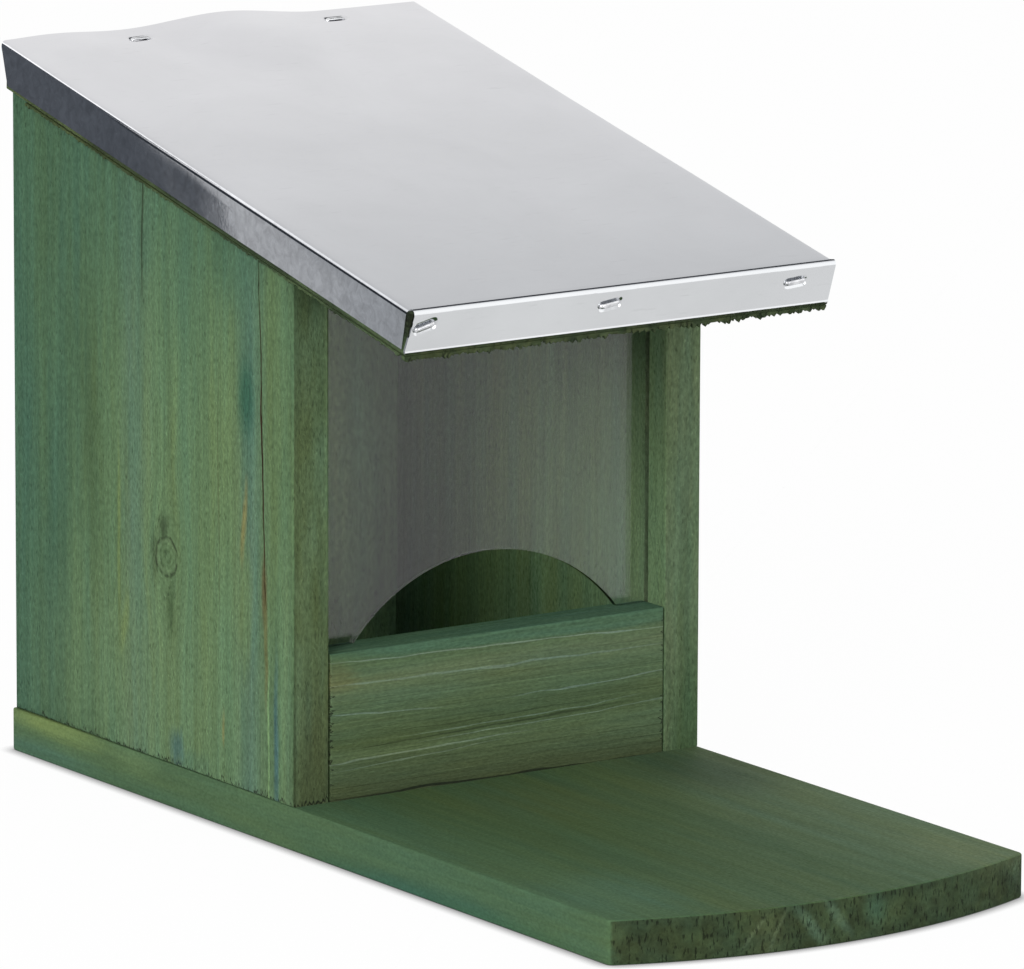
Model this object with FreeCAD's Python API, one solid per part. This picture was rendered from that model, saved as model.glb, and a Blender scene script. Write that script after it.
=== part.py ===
"""Squirrel feeder box: stained softwood hopper on a long landing board, with a clear
front pane and a sheet-metal covered lid hinged along the back.

Millimetres. +X is the width, the front faces -Y and +Z is up. The origin lies under the
centre of the bounding box, on the surface that the base plate stands on.
"""
import FreeCAD, Part
import math
import os

from FreeCAD import Vector

# Base plate
base_width = 120.0
base_length = 276.5
base_thickness = 10.8
base_front_radius = 150.0
base_corner_radius = 2.0

# Box of side panels, back panel and front board
body_depth = 130.5
side_thickness = 10.4
back_thickness = 10.4
back_height = 158.4
lid_pitch = 12.25
front_board_thickness = 10.4
front_board_height = 36.6
board_end_gap = 0.25
arris = 0.6

# Grooves and clear pane
groove_lip = 7.4
groove_depth = 3.0
pane_thickness = 1.8
pane_face_clearance = 0.3
pane_edge_clearance = 0.3
pane_top_clearance = 0.6
arch_width = 78.0
arch_height = 18.6
arch_offset = 1.5

# Holes in the back panel for the screws that hold the feeder to a tree or a post
fixing_hole_radius = 2.5
fixing_hole_low = 40.0
fixing_hole_spacing = 80.0

# Lid board
lid_length = 185.0
lid_thickness = 11.2
lid_side_overhang = 1.4

# Sheet-metal cover, folded down on three sides
sheet_thickness = 0.6
sheet_fold_depth = 10.1
sheet_bend_radius = 0.5
sheet_rear_overhang = 1.2
side_fold_front_gap = 1.2
side_fold_rear_cut = 2.5
bulge_height = 2.4
bulge_fade = 42.0
bulge_left_reach = 1.5
bulge_right_gap = 3.0
bulge_steps = 8

# Wire staples that hold the sheet
staple_crown = 6.0
staple_wire = 1.0
staple_leg = 5.4
staple_corner = 0.7
staple_clearance = 0.05
staple_dent_depth = 0.25
staple_dent_margin = 0.9
front_staple_drop = 4.4
front_staple_left_inset = 5.0
front_staple_middle = -4.0
front_staple_right_inset = 11.5
front_staple_tilts = (15.0, 8.0, 5.0)
rear_staple_setback = 5.0
rear_staple_left_inset = 36.5
rear_staple_right_inset = 29.2

# Butt hinges
hinge_length = 22.0
hinge_side_margin = 0.1
leaf_width = 9.0
leaf_thickness = 0.9
knuckle_radius = 2.0
knuckle_clearance = 0.3
pin_radius = 0.9
pin_clearance = 0.05
pin_head_radius = 1.4
pin_head_thickness = 0.5
leaf_start = 0.6
leaf_notch_clearance = 0.5
leaf_corner_radius = 1.5
hinge_screw_spread = 12.0
hinge_screw_reach = 5.2

# Countersunk screws
hinge_screw_head_radius = 2.0
hinge_screw_shank_radius = 1.1
hinge_screw_length = 9.0
hinge_screw_slot = 0.6
base_screw_head_radius = 3.2
base_screw_shank_radius = 1.6
base_screw_length = 28.0
base_screw_slot = 0.9
base_screw_recess = 0.3
screw_clearance = 0.05
side_screw_inset = 24.0
middle_screw_inset = 24.6

# Places worked out from the sizes above
pitch = math.radians(lid_pitch)
hinge_offset = knuckle_radius + knuckle_clearance
back_y = (base_length - hinge_offset - knuckle_radius) / 2.0
front_y = back_y - body_depth
lid_rear_z = base_thickness + back_height
inner_half = base_width / 2.0 - side_thickness
board_top_z = base_thickness + front_board_height
groove_width = pane_thickness + 2.0 * pane_face_clearance
groove_front_y = front_y + groove_lip
pane_front_y = groove_front_y + pane_face_clearance
lid_half = base_width / 2.0 + lid_side_overhang
sheet_half = lid_half + sheet_thickness
sheet_top = lid_thickness + sheet_thickness
sheet_front = lid_length + sheet_thickness
hinge_centre = inner_half - hinge_side_margin - hinge_length / 2.0
rear_staple_left = rear_staple_left_inset - sheet_half
rear_staple_right = sheet_half - rear_staple_right_inset
hinge_axis_z = lid_rear_z + hinge_offset * math.tan(pitch / 2.0)
hinge_axis_y = back_y + hinge_offset


def box(x0, x1, y0, y1, z0, z1):
    """A block between two corners."""
    return Part.makeBox(x1 - x0, y1 - y0, z1 - z0, Vector(x0, y0, z0))


def prism(points, direction):
    """A straight prism on a closed outline."""
    outline = Part.makePolygon([Vector(*p) for p in points] + [Vector(*points[0])])
    return Part.Face(outline).extrude(Vector(*direction))


def under_lid(y):
    """Height of the lid board's underside above the ground at a given y."""
    return lid_rear_z - (back_y - y) * math.tan(pitch)


def on_lid(shape):
    """Moves a shape from the lid's own frame to its closed place on the box.

    In the lid's frame the rear lower edge of the board is the X axis, the board runs
    towards -Y and its underside is the XY plane.
    """
    placed = shape.copy()
    placed.rotate(Vector(0, 0, 0), Vector(1, 0, 0), lid_pitch)
    placed.translate(Vector(0, back_y, lid_rear_z))
    return placed


def ease(shape, radius, picked):
    """Rounds the straight edges for which picked(start, end) is true."""
    edges = []
    for edge in shape.Edges:
        if len(edge.Vertexes) == 2 and isinstance(edge.Curve, Part.Line):
            if picked(edge.Vertexes[0].Point, edge.Vertexes[1].Point):
                edges.append(edge)
    return shape.makeFillet(radius, edges)


def turned(profile):
    """A solid of revolution about Z from (radius, z) points."""
    points = [Vector(r, 0, z) for r, z in profile]
    face = Part.Face(Part.makePolygon(points + [points[0]]))
    return face.revolve(Vector(0, 0, 0), Vector(0, 0, 1), 360)


def screw(head_radius, shank_radius, length, slot, grow=0.0):
    """A countersunk cross-slot screw, head flush with z = 0 and its point towards -Z.

    With grow set, the plain enlarged body that cuts the screw's hole.
    """
    cone = head_radius - shank_radius
    body = turned([(0, grow), (head_radius + grow, grow), (head_radius + grow, 0),
                   (shank_radius + grow, -cone), (shank_radius + grow, grow - length * 0.88),
                   (0.25 * shank_radius + grow, -length - grow), (0, -length - grow)])
    if grow:
        return body
    body = turned([(0, 0), (head_radius, 0), (shank_radius, -cone),
                   (shank_radius, -length * 0.88), (0.25 * shank_radius, -length), (0, -length)])
    arm = head_radius * 0.62
    depth = cone * 0.9
    cross = box(-arm, arm, -slot / 2, slot / 2, -depth, 1)
    cross = cross.fuse(box(-slot / 2, slot / 2, -arm, arm, -depth, 1))
    return body.cut(cross)


def base_screw(grow=0.0):
    """A screw under the base plate, pointing up."""
    one = screw(base_screw_head_radius, base_screw_shank_radius, base_screw_length,
                base_screw_slot, grow)
    one.rotate(Vector(0, 0, 0), Vector(1, 0, 0), 180)
    return one


def base_screw_places():
    """Centres of the screws that hold panels and front board to the base plate."""
    side_x = base_width / 2.0 - side_thickness / 2.0
    places = []
    for y in (back_y - side_screw_inset, front_y + side_screw_inset):
        places += [(-side_x, y), (side_x, y)]
    for y in (back_y - back_thickness / 2.0, front_y + front_board_thickness / 2.0):
        places += [(middle_screw_inset - inner_half, y), (inner_half - middle_screw_inset, y)]
    return places


def base_screw_holes():
    """All the holes that the base screws fill."""
    holes = []
    for x, y in base_screw_places():
        hole = base_screw(screw_clearance)
        hole.translate(Vector(x, y, base_screw_recess))
        holes.append(hole)
        holes.append(Part.makeCylinder(base_screw_head_radius + screw_clearance,
                                       base_screw_recess + 1, Vector(x, y, -1)))
    return holes


def hinge_screw(grow=0.0):
    """A small hinge screw, point towards -Y and head flush with y = 0."""
    one = screw(hinge_screw_head_radius, hinge_screw_shank_radius, hinge_screw_length,
                hinge_screw_slot, grow)
    one.rotate(Vector(0, 0, 0), Vector(1, 0, 0), -90)
    return one


def hinge_screw_x():
    """X of the screws of both hinges."""
    spread = hinge_screw_spread / 2.0
    return [side * hinge_centre + step for side in (-1, 1) for step in (-spread, spread)]


def fixed_hinge_screws(grow=0.0):
    """The screws through the fixed leaves into the back panel."""
    screws = []
    for x in hinge_screw_x():
        one = hinge_screw(grow)
        one.translate(Vector(x, back_y + leaf_thickness, hinge_axis_z - hinge_screw_reach))
        screws.append(one)
    return screws


def lid_hinge_screws(grow=0.0):
    """The screws through the moving leaves into the lid board, in the lid's frame."""
    axis_w = -hinge_offset * math.tan(pitch / 2.0)
    screws = []
    for x in hinge_screw_x():
        one = hinge_screw(grow)
        one.translate(Vector(x, leaf_thickness, axis_w + hinge_screw_reach))
        screws.append(one)
    return screws


def staple(grow=0.0):
    """A wire staple: crown along X with its underside at z = 0, legs towards -Z."""
    half = staple_crown / 2.0 + grow
    wire = staple_wire / 2.0 + grow
    inner = staple_crown / 2.0 - staple_wire - grow
    leg = staple_leg + grow
    top = staple_wire + grow
    outline = [(-half, -wire, top), (half, -wire, top), (half, -wire, -leg),
               (inner, -wire, -leg + staple_wire), (inner, -wire, -grow),
               (-inner, -wire, -grow), (-inner, -wire, -leg + staple_wire), (-half, -wire, -leg)]
    body = prism(outline, (0, 2 * wire, 0))
    if grow:
        return body
    return ease(body, staple_corner,
                lambda a, b: abs(a.z - top) < 1e-6 and abs(b.z - top) < 1e-6
                and abs(a.y - b.y) > 1e-6)


def dent():
    """The shallow oval that a staple presses into the sheet, around z = 0."""
    reach = staple_crown / 2.0
    radius = staple_wire / 2.0 + staple_dent_margin
    depth = 2.0 * staple_dent_depth
    low = -staple_dent_depth
    oval = box(-reach, reach, -radius, radius, low, low + depth)
    for side in (-1, 1):
        oval = oval.fuse(Part.makeCylinder(radius, depth, Vector(side * reach, 0, low)))
    return oval


def set_on_front_fold(shape, x, tilt):
    """Turns a staple or its dent to face forward and sets it on the front fold."""
    placed = shape.copy()
    placed.rotate(Vector(0, 0, 0), Vector(0, 0, 1), tilt)
    placed.rotate(Vector(0, 0, 0), Vector(1, 0, 0), 90)
    placed.translate(Vector(x, -sheet_front, sheet_top - front_staple_drop))
    return placed


def set_on_top(shape, x):
    """Sets a staple or its dent on the top of the sheet near the rear edge."""
    placed = shape.copy()
    placed.translate(Vector(x, -rear_staple_setback, sheet_top))
    return placed


def staple_set(shape):
    """One copy of a shape at each staple, in the lid's frame."""
    front_x = (-sheet_half + front_staple_left_inset, front_staple_middle,
               sheet_half - front_staple_right_inset)
    copies = []
    for x, tilt in zip(front_x, front_staple_tilts):
        copies.append(set_on_front_fold(shape, x, tilt))
    for x in (rear_staple_left, rear_staple_right):
        copies.append(set_on_top(shape, x))
    return copies


def seated_staple(grow=0.0):
    """A staple whose crown lies on the floor of its dent."""
    one = staple(grow)
    one.translate(Vector(0, 0, -staple_dent_depth))
    return one


def make_base_plate():
    """The landing board: a plank whose front end is an arc."""
    half = base_width / 2.0
    sag = base_front_radius - math.sqrt(base_front_radius ** 2 - half ** 2)
    crest_y = back_y - base_length
    corner_y = crest_y + sag
    corners = [Vector(half, corner_y, 0), Vector(half, back_y, 0),
               Vector(-half, back_y, 0), Vector(-half, corner_y, 0)]
    edges = [Part.LineSegment(a, b).toShape() for a, b in zip(corners, corners[1:])]
    edges.append(Part.Arc(corners[3], Vector(0, crest_y, 0), corners[0]).toShape())
    plate = Part.Face(Part.Wire(edges)).extrude(Vector(0, 0, base_thickness))
    plate = ease(plate, base_corner_radius, lambda a, b: abs(a.z - b.z) > 1e-6)
    rims = [e for e in plate.Edges if abs(e.Vertexes[0].Z - e.Vertexes[-1].Z) < 1e-6]
    plate = plate.makeFillet(arris, rims)
    for hole in base_screw_holes():
        plate = plate.cut(hole)
    return plate


def make_side_panel(side):
    """A side panel with its top cut to the lid's pitch and a groove for the pane.

    side is -1 for the left panel and 1 for the right one.
    """
    outline = [(0, back_y, base_thickness), (0, front_y, base_thickness),
               (0, front_y, under_lid(front_y)), (0, back_y, lid_rear_z)]
    panel = prism(outline, (side_thickness, 0, 0))
    panel = ease(panel, arris, lambda a, b: abs(a.x - b.x) < 1e-6 and (
        abs(a.z - b.z) > side_thickness or a.x > side_thickness / 2.0))
    groove = box(-1, groove_depth, groove_front_y, groove_front_y + groove_width,
                 base_thickness - 1, lid_rear_z)
    panel = panel.cut(groove)
    panel.translate(Vector(inner_half, 0, 0))
    if side < 0:
        panel = panel.mirror(Vector(0, 0, 0), Vector(1, 0, 0))
    for hole in base_screw_holes():
        panel = panel.cut(hole)
    return panel


def make_back_panel():
    """The back panel between the sides, bored for the two fixing screws."""
    y0 = back_y - back_thickness
    outline = [(-inner_half, back_y, base_thickness), (-inner_half, y0, base_thickness),
               (-inner_half, y0, under_lid(y0)), (-inner_half, back_y, lid_rear_z)]
    panel = prism(outline, (2 * inner_half, 0, 0))
    for z in (fixing_hole_low, fixing_hole_low + fixing_hole_spacing):
        panel = panel.cut(Part.makeCylinder(fixing_hole_radius, back_thickness + 2,
                                            Vector(0, back_y + 1, base_thickness + z),
                                            Vector(0, -1, 0)))
    for hole in base_screw_holes() + fixed_hinge_screws(screw_clearance):
        panel = panel.cut(hole)
    return panel


def make_front_board():
    """The low board between the sides, flush with their front edges."""
    half = inner_half - board_end_gap
    board = box(-half, half, front_y, front_y + front_board_thickness,
                base_thickness, board_top_z)
    board = ease(board, arris, lambda a, b: abs(a.y - front_y) < 1e-6
                 and abs(b.y - front_y) < 1e-6 and a.z + b.z > 2 * base_thickness + 1e-6)
    for hole in base_screw_holes():
        board = board.cut(hole)
    return board


def make_viewing_pane():
    """The clear pane in the side grooves, with its low arch above the front board."""
    half = inner_half + groove_depth - pane_edge_clearance
    rear_y = pane_front_y + pane_thickness
    top_z = under_lid(pane_front_y) - pane_top_clearance
    pane = box(-half, half, pane_front_y, rear_y, board_top_z, top_z)
    radius = (arch_width ** 2 / 4.0 + arch_height ** 2) / (2.0 * arch_height)
    centre = Vector(arch_offset, pane_front_y - 1, board_top_z + arch_height - radius)
    cutter = Part.makeCylinder(radius, pane_thickness + 2, centre, Vector(0, 1, 0))
    return pane.cut(cutter)


def make_lid_board():
    """The board of the lid, its upper arrises eased under the folds of the sheet."""
    board = box(-lid_half, lid_half, -lid_length, 0, 0, lid_thickness)
    ease_radius = sheet_bend_radius + 0.1
    board = ease(board, ease_radius, lambda a, b: abs(a.z - lid_thickness) < 1e-6
                 and abs(b.z - lid_thickness) < 1e-6 and a.y + b.y < -1e-6)
    board = ease(board, arris, lambda a, b: abs(a.z) < 1e-6 and abs(b.z) < 1e-6
                 and a.y + b.y < -1e-6)
    for hole in staple_set(seated_staple(staple_clearance)):
        board = board.cut(hole)
    for hole in lid_hinge_screws(screw_clearance):
        board = board.cut(hole)
    return board


def bulge_section(y, height, half):
    """Cross-section of the sheet's top at y, lifted between the two rear staples."""
    left = rear_staple_left - bulge_left_reach
    right = rear_staple_right - bulge_right_gap
    crest = []
    for i in range(bulge_steps + 1):
        share = i / bulge_steps
        lift = height * math.sin(math.pi * share) ** 2
        crest.append((left + (right - left) * share, lift))
    edges = []
    for base in (lid_thickness, sheet_top):
        curve = Part.BSplineCurve()
        curve.interpolate([Vector(x, y, base + lift) for x, lift in crest],
                          InitialTangent=Vector(1, 0, 0), FinalTangent=Vector(1, 0, 0))
        flat_left = Part.LineSegment(Vector(-half, y, base), Vector(left, y, base))
        flat_right = Part.LineSegment(Vector(right, y, base), Vector(half, y, base))
        edges += [flat_left.toShape(), curve.toShape(), flat_right.toShape()]
    for x in (-half, half):
        edges.append(Part.LineSegment(Vector(x, y, lid_thickness),
                                      Vector(x, y, sheet_top)).toShape())
    return Part.Wire(Part.__sortEdges__(edges))


def fold_profile():
    """Section of a fold beside the flat top: a bend and a flange that hangs down.

    The section lies in the XZ plane with the flange's outer face at x = 0 and the flat
    top joining at x = outer bend radius.
    """
    inner = sheet_bend_radius
    outer = inner + sheet_thickness
    low = sheet_top - sheet_fold_depth
    turn = math.sqrt(0.5)
    start = Vector(outer, 0, sheet_top)
    side = Vector(0, 0, sheet_top - outer)
    bend_out = Part.Arc(start, Vector(outer - outer * turn, 0, sheet_top - outer + outer * turn),
                        side)
    toe_out = Vector(0, 0, low)
    toe_in = Vector(sheet_thickness, 0, low)
    side_in = Vector(sheet_thickness, 0, sheet_top - outer)
    end = Vector(outer, 0, lid_thickness)
    bend_in = Part.Arc(side_in, Vector(outer - inner * turn, 0, sheet_top - outer + inner * turn),
                       end)
    edges = [bend_out.toShape(), Part.LineSegment(side, toe_out).toShape(),
             Part.LineSegment(toe_out, toe_in).toShape(),
             Part.LineSegment(toe_in, side_in).toShape(), bend_in.toShape(),
             Part.LineSegment(end, start).toShape()]
    return Part.Face(Part.Wire(edges))


def make_roof_sheet():
    """The cover, folded down at both sides and at the front, free along its rear edge.

    The front fold narrows towards its bend, where the sheet was nicked at the corners.
    """
    outer = sheet_bend_radius + sheet_thickness
    half = sheet_half - outer
    fades = ((sheet_rear_overhang, 1.0), (-0.28 * bulge_fade, 0.72), (-0.62 * bulge_fade, 0.24),
             (-bulge_fade, 0.0), (outer - sheet_front, 0.0))
    sections = [bulge_section(y, bulge_height * share, half) for y, share in fades]
    sheet = Part.makeLoft(sections, True, True)
    low = sheet_top - sheet_fold_depth
    side_front = side_fold_front_gap - sheet_front
    side_fold = fold_profile().extrude(Vector(0, sheet_rear_overhang - side_front, 0))
    side_fold.translate(Vector(-sheet_half, side_front, 0))
    slant = prism([(0, sheet_rear_overhang, sheet_top), (0, sheet_rear_overhang + 1, sheet_top),
                   (0, sheet_rear_overhang + 1, low - 1), (0, -side_fold_rear_cut, low - 1)],
                  (2 * outer, 0, 0))
    slant.translate(Vector(-sheet_half - outer, 0, 0))
    side_fold = side_fold.cut(slant)
    front_fold = fold_profile().extrude(Vector(0, 2 * sheet_half, 0))
    front_fold.rotate(Vector(0, 0, 0), Vector(0, 0, 1), 90)
    front_fold.translate(Vector(sheet_half, -sheet_front, 0))
    ahead = -sheet_front - 1
    corner = prism([(half, ahead, sheet_top + 1), (sheet_half + 1, ahead, sheet_top + 1),
                    (sheet_half + 1, ahead, low), (sheet_half, ahead, low),
                    (half, ahead, sheet_top - outer)], (0, outer + 2, 0))
    front_fold = front_fold.cut([corner, corner.mirror(Vector(0, 0, 0), Vector(1, 0, 0))])
    sheet = sheet.fuse([side_fold, side_fold.mirror(Vector(0, 0, 0), Vector(1, 0, 0)), front_fold])
    for hollow in staple_set(dent()) + staple_set(seated_staple(staple_clearance)):
        sheet = sheet.cut(hollow)
    return sheet.removeSplitter()


def hinge_leaf(knuckle_spans):
    """A hinge leaf with its axis along X through the origin and its plate below.

    The plate's back lies at y = -hinge_offset. knuckle_spans are the stretches along X
    that this leaf's knuckles take up.
    """
    half = hinge_length / 2.0
    plate = box(-half, half, -hinge_offset, leaf_thickness - hinge_offset,
                -leaf_width, -leaf_start)
    plate = ease(plate, leaf_corner_radius, lambda a, b: abs(a.y - b.y) > 1e-6
                 and a.z < -leaf_width + 1e-6)
    notch_z = -knuckle_radius - leaf_notch_clearance
    knuckles = None
    edge = -half - 1
    for x0, x1 in knuckle_spans:
        tube = Part.makeCylinder(knuckle_radius, x1 - x0, Vector(x0, 0, 0), Vector(1, 0, 0))
        knuckles = tube if knuckles is None else knuckles.fuse(tube)
        if x0 - edge > knuckle_clearance and x0 > -half + 1e-6:
            plate = plate.cut(box(edge, x0, -hinge_offset - 1, 0, notch_z, 1))
        edge = x1
    if edge < half - 1e-6:
        plate = plate.cut(box(edge, half + 1, -hinge_offset - 1, 0, notch_z, 1))
    bore = Part.makeCylinder(pin_radius + pin_clearance, hinge_length + 2,
                             Vector(-half - 1, 0, 0), Vector(1, 0, 0))
    return plate.fuse(knuckles).cut(bore).removeSplitter()


def knuckle_spans():
    """Stretches along X of the fixed leaf's two knuckles and the moving leaf's one."""
    half = hinge_length / 2.0
    inner = hinge_length / 6.0
    fixed = [(-half, -inner - knuckle_clearance), (inner + knuckle_clearance, half)]
    return fixed, [(-inner, inner)]


def make_fixed_leaf(side):
    """A leaf on the back panel's outer face."""
    leaf = hinge_leaf(knuckle_spans()[0])
    leaf.translate(Vector(side * hinge_centre, hinge_axis_y, hinge_axis_z))
    for hole in fixed_hinge_screws(screw_clearance):
        leaf = leaf.cut(hole)
    return leaf


def make_lid_leaf(side):
    """A leaf on the lid board's rear face, its plate pointing up from the axis."""
    leaf = hinge_leaf(knuckle_spans()[1])
    leaf = leaf.mirror(Vector(0, 0, 0), Vector(0, 0, 1))
    axis_w = -hinge_offset * math.tan(pitch / 2.0)
    leaf.translate(Vector(side * hinge_centre, hinge_offset, axis_w))
    for hole in lid_hinge_screws(screw_clearance):
        leaf = leaf.cut(hole)
    return on_lid(leaf)


def make_hinge_pin(side):
    """A hinge pin with an upset head at each end."""
    half = hinge_length / 2.0 + pin_clearance
    end = half + pin_head_thickness
    profile = [(0, -end), (pin_head_radius * 0.7, -end), (pin_head_radius, -half - 0.1),
               (pin_head_radius, -half), (pin_radius, -half), (pin_radius, half),
               (pin_head_radius, half), (pin_head_radius, half + 0.1),
               (pin_head_radius * 0.7, end), (0, end)]
    pin = turned(profile)
    pin.rotate(Vector(0, 0, 0), Vector(0, 1, 0), 90)
    pin.translate(Vector(side * hinge_centre, hinge_axis_y, hinge_axis_z))
    return pin


def make_base_screws():
    """The screws under the base plate."""
    screws = []
    for x, y in base_screw_places():
        one = base_screw()
        one.translate(Vector(x, y, base_screw_recess))
        screws.append(one)
    return Part.makeCompound(screws)


def save(node, shape):
    """Writes one node and prints what it holds."""
    bad = [s for s in shape.Solids if not s.isValid()]
    print("%-22s solids %d  volume %.1f  faces %d%s" % (
        node, len(shape.Solids), shape.Volume, len(shape.Faces), "  INVALID" if bad else ""))
    solid = shape.Solids[0] if len(shape.Solids) == 1 else Part.makeCompound(shape.Solids)
    solid.exportStep("parts/%s.step" % node)


os.makedirs("parts", exist_ok=True)
save("base_plate", make_base_plate())
save("side_panel_left", make_side_panel(-1))
save("side_panel_right", make_side_panel(1))
save("back_panel", make_back_panel())
save("front_board", make_front_board())
save("viewing_pane", make_viewing_pane())
save("base_screws", make_base_screws())
save("lid_board", on_lid(make_lid_board()))
save("roof_sheet", on_lid(make_roof_sheet()))
save("sheet_staples", on_lid(Part.makeCompound(staple_set(seated_staple()))))
for side, name in ((-1, "left"), (1, "right")):
    save("hinge_%s_fixed_leaf" % name, make_fixed_leaf(side))
    save("hinge_%s_lid_leaf" % name, make_lid_leaf(side))
    save("hinge_%s_pin" % name, make_hinge_pin(side))
save("hinge_fixed_screws", Part.makeCompound(fixed_hinge_screws()))
save("hinge_lid_screws", on_lid(Part.makeCompound(lid_hinge_screws())))
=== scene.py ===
"""Squirrel feeder box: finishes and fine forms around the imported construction.

A stained softwood hopper stands on a long landing board with a bowed front edge. A clear
acrylic pane with a low arch closes the front, and a board covered in folded galvanised
sheet is the lid. Lengths in the dataclasses are millimetres in the part's own frame, and
one function turns them to metres.
"""

import logging
import math
import random
from collections.abc import Callable, Iterator
from contextlib import contextmanager
from dataclasses import dataclass, field
from enum import Enum

import bmesh
import bpy
from mathutils import Matrix, Vector

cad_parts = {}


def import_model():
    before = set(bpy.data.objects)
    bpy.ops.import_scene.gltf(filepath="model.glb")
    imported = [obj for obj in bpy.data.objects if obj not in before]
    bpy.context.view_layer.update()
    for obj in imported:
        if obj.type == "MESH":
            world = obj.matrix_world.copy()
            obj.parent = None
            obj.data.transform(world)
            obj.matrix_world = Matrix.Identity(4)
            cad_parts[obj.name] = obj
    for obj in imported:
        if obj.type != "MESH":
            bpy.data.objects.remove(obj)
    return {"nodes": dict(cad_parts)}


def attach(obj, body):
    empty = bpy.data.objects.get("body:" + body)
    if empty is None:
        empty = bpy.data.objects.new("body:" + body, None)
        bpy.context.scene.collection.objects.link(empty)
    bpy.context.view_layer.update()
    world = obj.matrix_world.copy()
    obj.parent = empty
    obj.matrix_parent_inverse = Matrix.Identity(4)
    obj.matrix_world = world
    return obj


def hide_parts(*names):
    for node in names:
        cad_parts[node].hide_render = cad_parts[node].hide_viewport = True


MILLIMETRE = 0.001

log = logging.getLogger("feeder")


class Body(Enum):
    """The two parts that the lid hinge joins."""

    BOX = "box"
    LID = "lid"


class Slot(Enum):
    """The record's material slots for the scene's own pieces; nothing in this script uses them."""

    BASE = "stained_base"
    PANELS = "stained_panels"
    LID = "stained_lid"
    SHEET = "galvanised_sheet"
    STAPLES = "staple_wire"


class Pick(Enum):
    """The parts of a mesh that can be selected in edit mode."""

    CORNERS = "VERT"
    EDGES = "EDGE"
    FACES = "FACE"


class Grain(Enum):
    """The axes that a board's fibres, bands and edges are set out by."""

    ACROSS = (1.0, 0.0, 0.0)
    FORWARD = (0.0, 1.0, 0.0)
    UPRIGHT = (0.0, 0.0, 1.0)


class Stain(Enum):
    """Tones of the green wood stain: greens thick to thin, olives, teals, browns; the darkest also
    paints shadow, the palest light.
    """

    # darkest tone: dark joints, and painted shadow in the lid's corner gaps
    SEAM = "#1a2016"
    PITCH = "#2e3a26"
    PINE = "#3a4a32"
    IVY = "#445a3c"
    FOREST = "#4a6448"
    FERN = "#526c4c"
    LEAF = "#587252"
    MOSS = "#5e7856"
    SAGE = "#667e5c"
    # palest tone: a pale grain line, and painted light on the hopper's inner faces
    FRESH = "#80a070"
    BOG = "#465036"
    OLIVE = "#4c5c3e"
    HEATH = "#566a4e"
    LICHEN = "#607054"
    LIME = "#6e8250"
    LAGOON = "#305846"
    SPRUCE = "#42624e"
    TEAL = "#4a6a58"
    MIST = "#56705c"
    SLATE = "#406266"
    BARK = "#34281a"
    UMBER = "#5a4a2e"
    DUN = "#666640"
    STRAW = "#887c48"
    CHALK = "#7c9082"


def metres(*lengths: float) -> Vector:
    """Turns three millimetre lengths to a vector in metres.

    Args:
        lengths: Three lengths in millimetres.

    Returns:
        The same vector in metres.
    """
    return Vector(lengths) * MILLIMETRE


def colour(code: str) -> tuple[float, float, float, float]:
    """Turns an sRGB hex colour to a linear one.

    Args:
        code: Six hex digits after a hash sign.

    Returns:
        Linear red, green and blue with an alpha of 1.
    """
    channels = []
    for start in (1, 3, 5):
        value = int(code[start:start + 2], 16) / 255.0
        channels.append(value / 12.92 if value <= 0.04045 else ((value + 0.055) / 1.055) ** 2.4)
    return (*channels, 1.0)


def add_node(tree: bpy.types.NodeTree, kind: str, sockets: dict | None = None,
             **settings: object) -> bpy.types.Node:
    """Adds a node with its settings and links.

    Args:
        tree: The node tree that gets the node.
        kind: The node's type name after "ShaderNode".
        sockets: Input name or index, with a value or an output socket to link.
        settings: Properties of the node.

    Returns:
        The new node.
    """
    node = tree.nodes.new("ShaderNode" + kind)
    for name, value in settings.items():
        setattr(node, name, value)
    for key, value in (sockets or {}).items():
        if isinstance(value, bpy.types.NodeSocket):
            tree.links.new(value, node.inputs[key])
        else:
            node.inputs[key].default_value = value
    return node


def empty_material(name: str) -> tuple[bpy.types.Material, bpy.types.NodeTree]:
    """Makes a material whose tree holds only its output.

    Args:
        name: The material's name.

    Returns:
        The material and its node tree.
    """
    material = bpy.data.materials.new(name)
    material.use_nodes = True
    tree = material.node_tree
    tree.nodes.clear()
    add_node(tree, "OutputMaterial")
    return material, tree


def close_material(tree: bpy.types.NodeTree, shader: bpy.types.Node) -> None:
    """Links a shader to the material's output.

    Args:
        tree: The node tree.
        shader: The last shader node.
    """
    output = tree.nodes["Material Output"]
    tree.links.new(shader.outputs[0], output.inputs["Surface"])


@dataclass(frozen=True)
class StainMark:
    """A local tint, line or smudge in the stain, an ellipsoid with a feathered edge.

    Lengths are millimetres. The lean turns the mark about an axis. Crisp is 1 for a soft
    mark and more for a sharp one.
    """

    centre: tuple[float, float, float]
    reach: tuple[float, float, float]
    tint: Stain
    strength: float
    lean: float = 0.0
    about: Grain = Grain.ACROSS
    crisp: float = 1.2


@dataclass(frozen=True)
class Knot:
    """A small grown-in knot, its centre and radius in millimetres."""

    centre: tuple[float, float, float]
    radius: float
    depth: float = 4.0


@dataclass(frozen=True)
class Figure:
    """One layer of the wood's figure.

    Width and length are the size of its streaks in millimetres, across and along the
    fibres. The span gives the noise values between which the layer goes from the first
    gain to the second, and a gain of 1 leaves the stain as it is. The rise stretches the
    streaks upwards, for pits on a sawn end.
    """

    width: float
    length: float
    span: tuple[float, float]
    gain: tuple[float, float]
    detail: float = 2.0
    rise: float = 1.0


PLANED_FIGURE = (
    Figure(4.0, 110.0, (0.3, 0.7), (0.89, 1.11)),
    Figure(1.1, 50.0, (0.3, 0.7), (0.91, 1.09)),
    Figure(0.6, 1.3, (0.3, 0.7), (0.78, 1.22)),
    Figure(0.5, 1.9, (0.62, 0.72), (1.0, 0.64), 1.0),
    Figure(0.7, 1.1, (0.76, 0.8), (1.0, 1.25), 0.0),
)

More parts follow.
